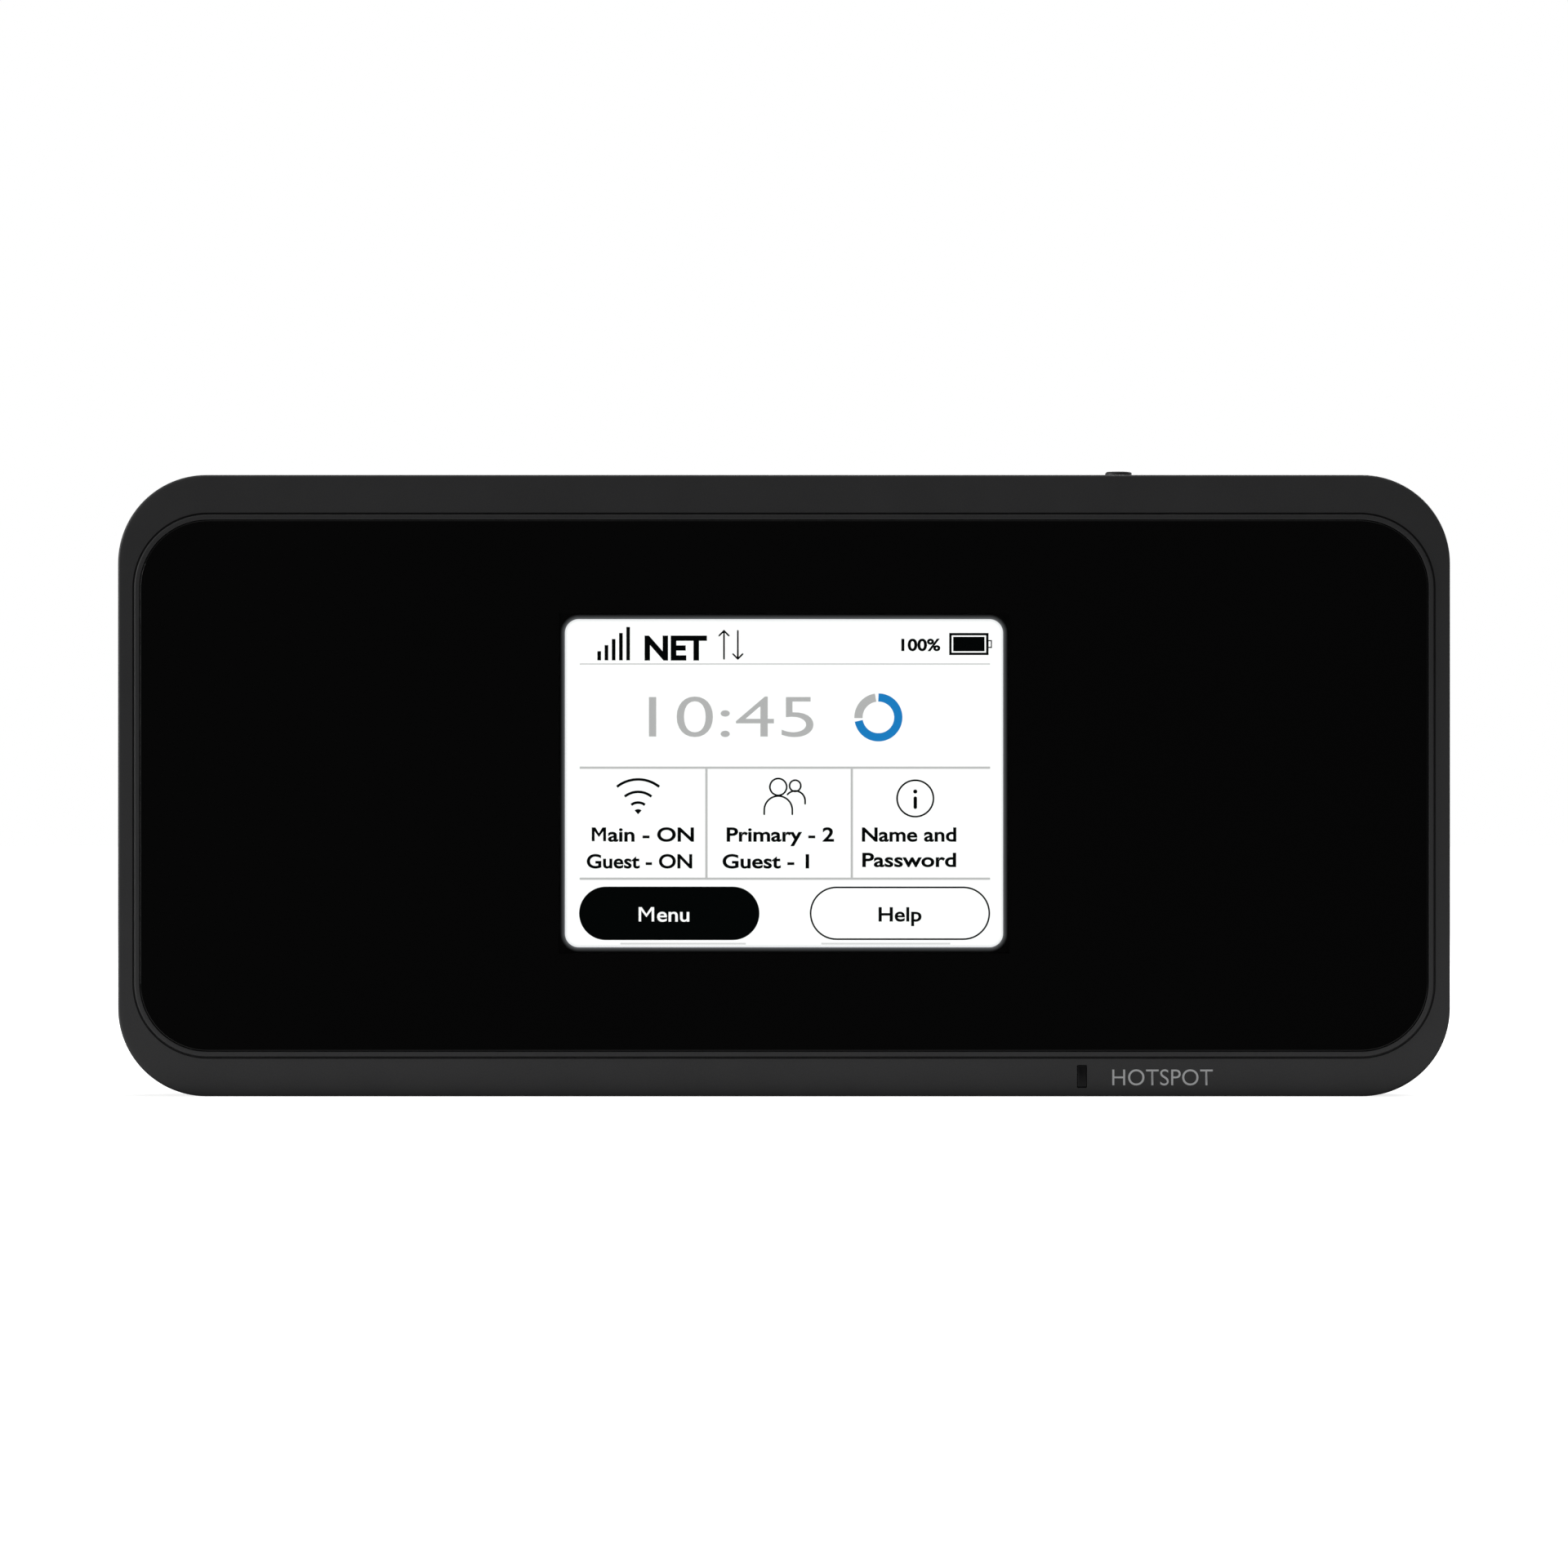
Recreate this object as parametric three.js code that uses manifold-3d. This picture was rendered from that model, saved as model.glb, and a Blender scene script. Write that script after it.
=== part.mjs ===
// Mobile hotspot: a pocket router with a small touch screen, a removable battery and a clip-on back.
// Millimetres. X runs along the width, Z up the height, and the screen looks towards -Y.
// The body stands on its long lower edge, and the origin is the centre of that edge.
import * as THREE from 'three';
import { mergeVertices } from 'three/addons/utils/BufferGeometryUtils.js';
import Module from 'manifold-3d';

const wasm = await Module();
wasm.setup();

// Driving dimensions. Sizes are full widths; depths are places along Y, negative towards the front.
const body = { width: 153.8, height: 71.75, thickness: 17.9, corner: 10.2, wall: 1.6, frontEdge: 0.3 };
const lens = { width: 148.6, height: 61.2, corner: 7.8, thickness: 0.9, gap: 0.1, edge: 0.1 };
const rim = { width: 0.6, proud: 0.15, grooveWidth: 0.2, grooveDepth: 0.35 };
const screen = { width: 55.6, height: 43.6, corner: 1.2, gap: 0.02 };
const screenWindow = { margin: 1.4, corner: 1.6 };
const keyTop = { x: 38.75, width: 3.0, length: 6.0, proud: 0.48, gap: 0.15, edge: 0.14 };
const keyFlange = { width: 4.4, length: 6.9, thickness: 0.6, gap: 0.05 };
const keyStem = { width: 1.8, fromY: -4.2, toY: -2.8, bottom: 31.05 };
const statusLight = { x: 34.4, z: 2.3, width: 1.1, height: 2.6, gap: 0.05 };
const lightStem = { low: -33.95, high: -32.4, back: -3.1 };
const usb = { width: 8.94, height: 3.26, wall: 0.35, length: 7.3, setBack: 0.4, gap: 0.18 };
const usbTongue = { width: 6.7, thickness: 0.7, setBack: 0.6, rootLength: 1.4, rearGap: 0.2 };
const battery = { width: 92, height: 58, thickness: 5.9, corner: 3, edge: 0.8, capHeight: 3.4 };
const batteryLabel = { width: 84, height: 46, corner: 1.5, thickness: 0.08 };
const contacts = { x: 30, spots: [-4.2, -1.4, 1.4, 4.2], width: 1 };
const bay = { width: 93, height: 59, corner: 3.2, wall: 1.0, back: 6.6 };
const sim = { length: 12.3, width: 8.8, thickness: 0.67, corner: 0.8, x: 51.9, front: -0.9 };
const simCase = { fromX: 51.4, toX: 62.6, halfWidth: 5.4, back: 0.1 };
const simWindow = { x: 61.7, width: 21.4, height: 15.2, corner: 1.5 };
const adhesive = { margin: 2.4, corner: 2, inset: 0.6 };
const backlight = { margin: 0.8 };
const bracket = { width: 64, height: 52, corner: 2, thickness: 0.4, gap: 0.05 };
const bracketRelief = { width: 34, height: 22, corner: 3 };
const spreader = { width: 116, height: 49, corner: 3, rise: 1.5, gap: 0.5, back: -4.85 };
const ribbonWidth = 16;
const board = { width: 148.4, height: 67.2, corner: 7.5 };
const can = { skin: 0.2, corner: 0.8, front: -4.6, back: 0.15 };
const pad = { size: 20, corner: 1 };
const mmwave = { length: 20, width: 2, corner: 0.3, edge: 0.2, front: -6.5, back: -2.6 };
const resetX = -56;
const boss = { radius: 2.1, bore: 0.75, boreFront: -3.2 };
const tray = { inset: 3.0, wall: 1.0, rimBack: 3.6 };
const screwShape = { tipY: -4, tipRadius: 0.45, shank: 0.7, head: 1.4, headHeight: 0.8, crown: 1.1 };
const screwSlot = { halfLength: 0.8, halfWidth: 0.18, floor: 0.35 };
const carrier = { width: 21, height: 16, corner: 1.5, wall: 0.9, back: 5.8, top: 0.8 };
const film = { width: 18, height: 13, corner: 0.8, thickness: 0.15 };
const ratingPlate = { width: 62, height: 34, corner: 1.5, thickness: 0.08 };
const cover = { edge: 4, insideEdge: 2.8, wall: 1.4 };
const nailNotch = { radius: 5, depth: 1, z: -20, forward: 3.2 };
const tab = { halfWidth: 4, thickness: 0.8, gap: 0.2, overlap: 0.4, front: 0.8, root: 3, back: 4.2 };

const front = -body.thickness / 2;
const back = body.thickness / 2;
const depth = {
  ringFace: front + rim.proud,
  lensBack: front + lens.thickness,
  recessFloor: front + lens.thickness + 0.2,
  plateBack: -6.65,
  panelBack: -6.95,
  backlightBack: -5.65,
  boardFront: -2.4,
  boardBack: -1.4,
  trayFront: 0.4,
  trayBack: 1.4,
  parting: 2.8,
  coverFront: 2.9,
  coverInside: back - 1.2,
};

const keyCentreY = -3.1;
const switchCentreY = -3.5;
const usbCentreY = depth.boardFront - usb.height / 2;

// The eight screws that hold the battery tray, and the four aerial carriers beside the battery.
const screwSpots = [
  [68.6, 28.6],
  [51.5, 29.8],
  [-51.5, 29.8],
  [-68.6, 28.6],
  [-68.6, -28.6],
  [-51.5, -29.8],
  [51.5, -29.8],
  [68.6, -28.6],
];
const carrierSpots = [
  [61, 17.2],
  [-61, 17.2],
  [-61, -17.2],
  [61, -17.2],
];

// How finely curves are divided, and how far a cutting shape runs past what it cuts.
const steps = { bigCorner: 8, smallCorner: 4, slotEnd: 6, round: 18, screw: 12 };
const past = 1;

// A rectangle with round corners, centred on the origin, as a closed run of points.
function roundedOutline(width, height, radius, arcSteps = steps.smallCorner) {
  const points = [];
  const corners = [[1, 1], [-1, 1], [-1, -1], [1, -1]];
  corners.forEach(([sideX, sideY], quarter) => {
    for (let step = 0; step <= arcSteps; step += 1) {
      const angle = ((quarter + step / arcSteps) * Math.PI) / 2;
      const x = sideX * (width / 2 - radius) + radius * Math.cos(angle);
      const y = sideY * (height / 2 - radius) + radius * Math.sin(angle);
      const last = points[points.length - 1];
      if (!last || Math.hypot(last.x - x, last.y - y) > 0.001) {
        points.push(new THREE.Vector2(x, y));
      }
    }
  });
  if (points[0].distanceTo(points[points.length - 1]) < 0.001) {
    points.pop();
  }
  return points;
}

// Outline drawn in X and Z, pushed along Y from one depth to another.
function slab(outline, fromY, toY, hole = null) {
  const shape = new THREE.Shape(outline);
  if (hole) {
    shape.holes.push(new THREE.Path(hole));
  }
  const geometry = new THREE.ExtrudeGeometry(shape, { depth: toY - fromY, bevelEnabled: false });
  geometry.rotateX(Math.PI / 2);
  geometry.translate(0, toY, 0);
  return geometry;
}

// The same, with both of its long edges rounded to the given radius.
function softSlab(outline, fromY, toY, edge, edgeSteps) {
  const geometry = new THREE.ExtrudeGeometry(new THREE.Shape(outline), {
    depth: toY - fromY - 2 * edge,
    bevelThickness: edge,
    bevelSize: edge,
    bevelOffset: -edge,
    bevelSegments: edgeSteps,
  });
  geometry.rotateX(Math.PI / 2);
  geometry.translate(0, toY - edge, 0);
  return geometry;
}

// Outline drawn in Y and Z, pushed along X, centred on x = 0.
function sideProfile(points, width) {
  const shape = new THREE.Shape(points.map(([y, z]) => new THREE.Vector2(y, z)));
  const geometry = new THREE.ExtrudeGeometry(shape, { depth: width, bevelEnabled: false });
  geometry.translate(0, 0, -width / 2);
  geometry.rotateX(Math.PI / 2);
  geometry.rotateZ(Math.PI / 2);
  return geometry;
}

function block([lowX, lowY, lowZ], [highX, highY, highZ]) {
  const geometry = new THREE.BoxGeometry(highX - lowX, highY - lowY, highZ - lowZ);
  geometry.translate((lowX + highX) / 2, (lowY + highY) / 2, (lowZ + highZ) / 2);
  return geometry;
}

// A round bar along Y.
function rod(radius, fromY, toY, x = 0, z = 0) {
  const geometry = new THREE.CylinderGeometry(radius, radius, toY - fromY, steps.round);
  geometry.translate(x, (fromY + toY) / 2, z);
  return geometry;
}

function toSolid(geometry) {
  const bare = geometry.clone();
  bare.deleteAttribute('normal');
  bare.deleteAttribute('uv');
  const merged = mergeVertices(bare, 1e-4);
  return new wasm.Manifold(new wasm.Mesh({
    numProp: 3,
    vertProperties: new Float32Array(merged.attributes.position.array),
    triVerts: new Uint32Array(merged.index.array),
  }));
}

function fromSolid(solid) {
  const mesh = solid.getMesh();
  const geometry = new THREE.BufferGeometry();
  geometry.setAttribute('position', new THREE.BufferAttribute(mesh.vertProperties, 3));
  geometry.setIndex(new THREE.BufferAttribute(mesh.triVerts, 1));
  geometry.computeVertexNormals();
  return geometry;
}

// Adds and cuts plain geometries, and gives back one geometry.
function carve(base, added, cuts) {
  let solid = toSolid(base);
  added.forEach((geometry) => {
    solid = solid.add(toSolid(geometry));
  });
  cuts.forEach((geometry) => {
    solid = solid.subtract(toSolid(geometry));
  });
  return fromSolid(solid);
}

function piece(name, geometry, colour, roughness, metalness = 0) {
  const material = new THREE.MeshStandardMaterial({ color: colour, roughness, metalness });
  const mesh = new THREE.Mesh(geometry, material);
  mesh.name = name;
  return mesh;
}

function bodyOutline(inset) {
  return roundedOutline(
    body.width - 2 * inset,
    body.height - 2 * inset,
    body.corner - inset,
    steps.bigCorner,
  );
}

function screenOutline(margin, corner) {
  return roundedOutline(screen.width + margin, screen.height + margin, corner);
}

// A slot outline with half-round ends.
function stadium(width, length) {
  const narrow = Math.min(width, length);
  return roundedOutline(width, length, narrow / 2 - 0.01, steps.slotEnd);
}

function lensOutline(grow) {
  return roundedOutline(
    lens.width + 2 * grow,
    lens.height + 2 * grow,
    lens.corner + grow,
    steps.bigCorner,
  );
}

// The moulded shell: bezel, raised rim round the lens, four walls and the screw bosses inside.
function frontHousing() {
  const rimInside = lens.gap;
  const rimOutside = lens.gap + rim.width;
  const shell = softSlab(bodyOutline(0), depth.ringFace, depth.parting + past, body.frontEdge, 1);
  const bossFront = depth.plateBack - 0.5;
  const added = [slab(lensOutline(rimOutside), front, depth.recessFloor, lensOutline(rimInside))];
  const cuts = [
    slab(bodyOutline(-past), depth.parting, depth.parting + 2 * past),
    slab(bodyOutline(body.wall), depth.plateBack, depth.parting + past),
    slab(lensOutline(rimInside), front - past, depth.recessFloor),
    slab(
      lensOutline(rimOutside + rim.grooveWidth),
      front - past,
      depth.ringFace + rim.grooveDepth,
      lensOutline(rimOutside),
    ),
    slab(screenOutline(screenWindow.margin, screenWindow.corner), front - past, 0),
    keyHole(),
    usbHole(),
    statusLightHole(),
  ];
  const shellOnly = carve(shell, added, cuts);
  const bosses = screwSpots.map(([x, z]) => rod(boss.radius, bossFront, depth.trayFront, x, z));
  const bossHoles = screwSpots.map(([x, z]) => (
    rod(boss.bore, boss.boreFront, depth.trayFront + past, x, z)
  ));
  return piece('front_housing', carve(shellOnly, bosses, bossHoles), 0x292929, 0.62);
}

// Round-ended opening in the top wall for the power key.
function keyHole() {
  const width = keyTop.width + 2 * keyTop.gap;
  const length = keyTop.length + 2 * keyTop.gap;
  const reach = body.wall + past;
  const hole = slab(roundedOutline(width, length, width / 2, steps.slotEnd), 0, reach + past);
  hole.rotateX(Math.PI / 2);
  hole.translate(keyTop.x, keyCentreY, body.height / 2 - reach);
  return hole;
}

// Round-ended opening in the left wall for the charging and data socket.
function usbHole() {
  const hole = slab(stadium(usb.height + 2 * usb.gap, usb.width + 2 * usb.gap), 0, body.wall + 2 * past);
  hole.rotateZ(Math.PI / 2);
  hole.translate(-body.width / 2 + body.wall + past, usbCentreY, 0);
  return hole;
}

function statusLightHole() {
  const half = statusLight.width / 2;
  const z = statusLight.z - body.height / 2;
  return block(
    [statusLight.x - half, front - past, z - statusLight.height / 2],
    [statusLight.x + half, depth.plateBack + 0.5, z + statusLight.height / 2],
  );
}

function coverLens() {
  const geometry = softSlab(lensOutline(0), front, depth.lensBack, lens.edge, 1);
  return piece('cover_lens', geometry, 0x070707, 0.08);
}

// Adhesive tape frame that bonds the lens to the shell.
function lensAdhesive() {
  const opening = screenOutline(adhesive.margin, adhesive.corner);
  const geometry = slab(lensOutline(-adhesive.inset), depth.lensBack, depth.recessFloor, opening);
  return piece('lens_adhesive', geometry, 0x1a1a1a, 0.9);
}

function displayPanel() {
  const geometry = slab(screenOutline(0, screen.corner), depth.lensBack + screen.gap, depth.panelBack);
  return piece('display_panel', geometry, 0xf4f6f8, 0.2);
}

function displayBacklight() {
  const outline = screenOutline(backlight.margin, screen.corner);
  const geometry = slab(outline, depth.panelBack, depth.backlightBack);
  return piece('display_backlight', geometry, 0xe6e7e8, 0.5);
}

// Stamped steel plate that stiffens the screen from behind.
function displayBracket() {
  const outline = roundedOutline(bracket.width, bracket.height, bracket.corner);
  const relief = roundedOutline(bracketRelief.width, bracketRelief.height, bracketRelief.corner);
  const face = depth.backlightBack + bracket.gap;
  const geometry = slab(outline, face, face + bracket.thickness, relief);
  return piece('display_bracket', geometry, 0xb9bcc0, 0.35, 1);
}

// Ribbon from the lower edge of the screen, past the bracket and back to a plug on the board.
function displayFlex() {
  const ribbon = [
    [-6.2, -22.35],
    [-6.2, -27.2],
    [-3.05, -29.4],
    [-3.05, -31.2],
    [-2.42, -31.2],
    [-2.42, -28.9],
    [-2.9, -28.9],
    [-6.05, -26.9],
    [-6.05, -22.35],
  ];
  return piece('display_flex', sideProfile(ribbon, ribbonWidth), 0xb06a1e, 0.5);
}

// Graphite-faced aluminium sheet that carries heat from the chips to the whole front.
function heatSpreader() {
  const outline = roundedOutline(spreader.width, spreader.height, spreader.corner);
  const geometry = slab(outline, depth.backlightBack + spreader.gap, spreader.back);
  geometry.translate(0, 0, spreader.rise);
  return piece('heat_spreader', geometry, 0x3b3d40, 0.45, 1);
}

function mainBoard() {
  const outline = roundedOutline(board.width, board.height, board.corner, steps.bigCorner);
  const low = depth.boardFront - past;
  const high = depth.boardBack + past;
  const notches = screwSpots.map(([x, z]) => rod(boss.radius + 0.3, low, high, x, z));
  const keyNotch = block([keyTop.x - 5, low, 29.5], [keyTop.x + 5, high, body.height / 2]);
  const geometry = carve(slab(outline, depth.boardFront, depth.boardBack), [], [...notches, keyNotch]);
  return piece('main_board', geometry, 0x123b2a, 0.45);
}

// A pressed steel can, closed towards closedY and open where it meets the board at boardY.
function shieldCan(name, width, height, x, z, boardY, closedY) {
  const { skin } = can;
  const towards = Math.sign(closedY - boardY);
  const low = Math.min(boardY, closedY);
  const high = Math.max(boardY, closedY);
  const inside = roundedOutline(width - 2 * skin, height - 2 * skin, can.corner - skin);
  const hollow = slab(inside, low + (towards < 0 ? skin : -past), high + (towards < 0 ? past : -skin));
  const pressed = carve(slab(roundedOutline(width, height, can.corner), low, high), [], [hollow]);
  const mesh = piece(name, pressed, 0xc3c6c9, 0.3, 1);
  mesh.position.set(x, 0, z);
  return mesh;
}

function thermalPad(name, x, z) {
  const outline = roundedOutline(pad.size, pad.size, pad.corner);
  const mesh = piece(name, slab(outline, spreader.back, can.front), 0x8d98a8, 0.85);
  mesh.position.set(x, 0, z);
  return mesh;
}

// Beam-forming aerial module, a small sealed block on its own carrier.
function mmwaveModule(name, x, z, upright) {
  const outline = roundedOutline(mmwave.length, mmwave.width, mmwave.corner);
  const mesh = piece(name, softSlab(outline, mmwave.front, mmwave.back, mmwave.edge, 1), 0x2b2e33, 0.5);
  mesh.position.set(x, 0, z);
  mesh.rotation.y = upright ? Math.PI / 2 : 0;
  return mesh;
}

function boardAssembly() {
  const group = new THREE.Group();
  group.add(mainBoard());
  group.add(shieldCan('modem_shield', 36, 30, -34, 6, depth.boardFront, can.front));
  group.add(shieldCan('processor_shield', 30, 30, 4, 6, depth.boardFront, can.front));
  group.add(shieldCan('radio_shield', 28, 26, 38, 2, depth.boardFront, can.front));
  group.add(shieldCan('power_shield', 36, 20, -20, -14, depth.boardBack, can.back));
  group.add(thermalPad('modem_thermal_pad', -34, 6));
  group.add(thermalPad('processor_thermal_pad', 4, 6));
  group.add(mmwaveModule('mmwave_module_left', -74.1, 17, true));
  group.add(mmwaveModule('mmwave_module_right', 74.1, 0, true));
  group.add(mmwaveModule('mmwave_module_top', -20, 33, false));
  group.add(...usbPort(), ...powerSwitch(), ...statusLamp(), batteryConnector());
  group.add(...simHolder(), ...resetSwitch());
  return group;
}

// USB-C receptacle: a drawn steel sleeve, and the plastic tongue that carries the contacts.
function usbPort() {
  const insideHeight = usb.height - 2 * usb.wall;
  const insideWidth = usb.width - 2 * usb.wall;
  const sleeve = slab(stadium(usb.height, usb.width), 0, usb.length, stadium(insideHeight, insideWidth));
  const rootBack = usb.length - usbTongue.rearGap;
  const blade = block(
    [-usbTongue.thickness / 2, usbTongue.setBack, -usbTongue.width / 2],
    [usbTongue.thickness / 2, rootBack, usbTongue.width / 2],
  );
  const root = slab(
    stadium(insideHeight - 0.1, insideWidth - 0.1),
    rootBack - usbTongue.rootLength,
    rootBack,
  );
  const tongue = carve(blade, [root], []);
  const port = [
    piece('usb_port_sleeve', sleeve, 0xb4b7ba, 0.25, 1),
    piece('usb_port_tongue', tongue, 0x141414, 0.5),
  ];
  port.forEach((mesh) => {
    mesh.rotation.z = -Math.PI / 2;
    mesh.position.set(-body.width / 2 + usb.setBack, usbCentreY, 0);
  });
  return port;
}

// Side-pressed switch under the power key, with the plunger that the key pushes.
function powerSwitch() {
  const upright = (halfWidth, halfDepth, low, high) => block(
    [-halfWidth, switchCentreY - halfDepth, low],
    [halfWidth, switchCentreY + halfDepth, high],
  );
  const switchCase = carve(upright(2.3, 1.1, 26.9, 29.9), [], [upright(1.15, 0.75, 28.5, 31)]);
  const plunger = upright(1, 0.6, 29, keyStem.bottom - 0.05);
  const pair = [
    piece('power_switch', switchCase, 0x303236, 0.5),
    piece('power_switch_plunger', plunger, 0xd9d9d4, 0.5),
  ];
  pair.forEach((mesh) => {
    mesh.position.x = keyTop.x;
  });
  return pair;
}

function statusLamp() {
  const bottom = statusLight.z - body.height / 2;
  const headHalf = statusLight.height / 2 - statusLight.gap;
  const headFront = depth.ringFace + 0.05;
  const headBack = depth.plateBack + 0.1;
  const profile = [
    [headFront, bottom - headHalf],
    [headBack, bottom - headHalf],
    [headBack, lightStem.low],
    [lightStem.back, lightStem.low],
    [lightStem.back, lightStem.high],
    [headBack, lightStem.high],
    [headBack, bottom + headHalf],
    [headFront, bottom + headHalf],
  ];
  const pipe = sideProfile(profile, statusLight.width - 2 * statusLight.gap);
  const lamp = block([-0.8, lightStem.back + 0.1, -33.4], [0.8, depth.boardFront, -32.6]);
  const pair = [
    piece('status_light_pipe', pipe, 0x121212, 0.35),
    piece('status_led', lamp, 0xf2efe2, 0.4),
  ];
  pair.forEach((mesh) => {
    mesh.position.x = statusLight.x;
  });
  return pair;
}

// Spring-contact block that stands through the tray at the battery's lower edge.
function batteryConnector() {
  const slot = block([-contacts.width / 2, 1.8, -29.9], [contacts.width / 2, 6, -29]);
  const slots = contacts.spots.map((x) => slot.clone().translate(x, 0, 0));
  const housing = carve(block([-6, depth.boardBack, -31.6], [6, 4.6, -29.4]), [], slots);
  const mesh = piece('battery_connector', housing, 0x1c1c1c, 0.5);
  mesh.position.x = contacts.x;
  return mesh;
}

// Nano-SIM holder on the back of the board, and the card that slides out of it along X.
function simHolder() {
  const shell = block(
    [simCase.fromX, depth.boardBack, -simCase.halfWidth],
    [simCase.toX, simCase.back, simCase.halfWidth],
  );
  const slotHalf = sim.width / 2 + 0.15;
  const slot = block(
    [sim.x - 0.2, sim.front - 0.07, -slotHalf],
    [simCase.toX + past, sim.front + sim.thickness + 0.08, slotHalf],
  );
  const cardOutline = roundedOutline(sim.length, sim.width, sim.corner);
  const card = slab(cardOutline, sim.front, sim.front + sim.thickness);
  const cardMesh = piece('sim_card', card, 0xe8e8ea, 0.4);
  cardMesh.position.x = sim.x + sim.length / 2;
  return [piece('sim_holder', carve(shell, [], [slot]), 0xb9bcc0, 0.3, 1), cardMesh];
}

// Reset switch on the back of the board, pressed with a pin through the tray.
function resetSwitch() {
  const caseBlock = block([-1.6, depth.boardBack, -1.4], [1.6, -0.2, 1.4]);
  const pocket = rod(0.85, -1.0, 0.2);
  const pair = [
    piece('reset_switch', carve(caseBlock, [], [pocket]), 0x303236, 0.5),
    piece('reset_plunger', rod(0.7, -0.65, 0.25), 0xc9c9c4, 0.5),
  ];
  pair.forEach((mesh) => {
    mesh.position.x = resetX;
  });
  return pair;
}

// Power key: a round-ended cap with a retaining flange and a stem down to the switch.
function powerKey() {
  const topZ = body.height / 2 + keyTop.proud;
  const flangeTop = body.height / 2 - body.wall - keyFlange.gap;
  const flangeBottom = flangeTop - keyFlange.thickness;
  const flangeMiddle = (flangeTop + flangeBottom) / 2;
  const cap = softSlab(stadium(keyTop.width, keyTop.length), 0, topZ - flangeMiddle, keyTop.edge, 1);
  cap.rotateX(Math.PI / 2);
  cap.translate(0, keyCentreY, flangeMiddle);
  const flange = block(
    [-keyFlange.width / 2, keyCentreY - keyFlange.length / 2, flangeBottom],
    [keyFlange.width / 2, keyCentreY + keyFlange.length / 2, flangeTop],
  );
  const stem = block(
    [-keyStem.width / 2, keyStem.fromY, keyStem.bottom],
    [keyStem.width / 2, keyStem.toY, flangeMiddle],
  );
  const mesh = piece('power_button', carve(cap, [flange, stem], []), 0x292929, 0.55);
  mesh.position.x = keyTop.x;
  return mesh;
}

// The inner shell behind the board: it closes the front shell and forms the battery bay.
function rearHousing() {
  const outside = bodyOutline(tray.inset);
  const inside = bodyOutline(tray.inset + tray.wall);
  const bayOutside = roundedOutline(bay.width + 2 * bay.wall, bay.height + 2 * bay.wall, bay.corner + 0.8);
  const bayInside = roundedOutline(bay.width, bay.height, bay.corner);
  const added = [
    slab(outside, depth.trayFront, tray.rimBack, inside),
    slab(bayOutside, depth.trayFront, bay.back, bayInside),
  ];
  const low = depth.trayFront - past;
  const high = depth.trayBack + past;
  const simOpening = slab(roundedOutline(simWindow.width, simWindow.height, simWindow.corner), low, high);
  const cuts = [
    block([contacts.x - 6.3, low, -31.75], [contacts.x + 6.3, bay.back + past, -29.2]),
    simOpening.translate(simWindow.x, 0, 0),
    rod(1.1, low, high, resetX, 0),
    ...screwSpots.map(([x, z]) => rod(0.85, low, high, x, z)),
  ];
  const geometry = carve(slab(outside, depth.trayFront, depth.trayBack), added, cuts);
  return piece('rear_housing', geometry, 0x2b2b2c, 0.7);
}

// Small cross-head screw, head uppermost towards +Y, with its seat at y = 0.
function trayScrew(name, x, z) {
  const shape = screwShape;
  const profile = [
    [0, shape.tipY],
    [shape.tipRadius, shape.tipY],
    [shape.shank, shape.tipY + 0.4],
    [shape.shank, 0],
    [shape.head, 0],
    [shape.head, shape.headHeight - 0.3],
    [shape.crown, shape.headHeight],
    [0, shape.headHeight],
  ];
  const points = profile.map(([radius, y]) => new THREE.Vector2(radius, y));
  const turned = new THREE.LatheGeometry(points, steps.screw);
  const { halfLength, halfWidth, floor } = screwSlot;
  const slots = [
    block([-halfLength, floor, -halfWidth], [halfLength, past, halfWidth]),
    block([-halfWidth, floor, -halfLength], [halfWidth, past, halfLength]),
  ];
  const mesh = piece(name, carve(turned, [], slots), 0x2f3032, 0.35, 1);
  mesh.position.set(x, depth.trayBack, z);
  return mesh;
}

// Plastic frame beside the battery that holds one aerial film off the board.
function antennaCarrier(name, x, z) {
  const frame = slab(
    roundedOutline(carrier.width, carrier.height, carrier.corner),
    depth.trayBack,
    carrier.back,
  );
  const hollow = slab(
    roundedOutline(carrier.width - 2 * carrier.wall, carrier.height - 2 * carrier.wall, 1),
    depth.trayBack - past,
    carrier.back - carrier.top,
  );
  const mesh = piece(name, carve(frame, [], [hollow]), 0x3a3b3d, 0.7);
  mesh.position.set(x, 0, z);
  return mesh;
}

// Copper film aerial on top of its carrier, with the gap that tunes it cut in from one side.
function antennaFilm(name, x, z) {
  const outline = roundedOutline(film.width, film.height, film.corner);
  const sheet = slab(outline, carrier.back, carrier.back + film.thickness);
  const low = carrier.back - past;
  const high = carrier.back + past;
  const cuts = [block([-6, low, -1], [12, high, 0.6]), block([-6, low, -4], [-4.6, high, 0.6])];
  const mesh = piece(name, carve(sheet, [], cuts), 0xb87443, 0.4, 1);
  mesh.position.set(x, 0, z);
  return mesh;
}

function ratingLabel() {
  const outline = roundedOutline(ratingPlate.width, ratingPlate.height, ratingPlate.corner);
  const geometry = slab(outline, depth.trayBack, depth.trayBack + ratingPlate.thickness);
  return piece('rating_label', geometry, 0xdcdcda, 0.6);
}

function trayAssembly() {
  const group = new THREE.Group();
  group.add(rearHousing(), ratingLabel());
  screwSpots.forEach(([x, z], index) => {
    group.add(trayScrew(`tray_screw_${index + 1}`, x, z));
  });
  carrierSpots.forEach(([x, z], index) => {
    group.add(antennaCarrier(`antenna_carrier_${index + 1}`, x, z));
    group.add(antennaFilm(`antenna_film_${index + 1}`, x, z));
  });
  return group;
}

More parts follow.
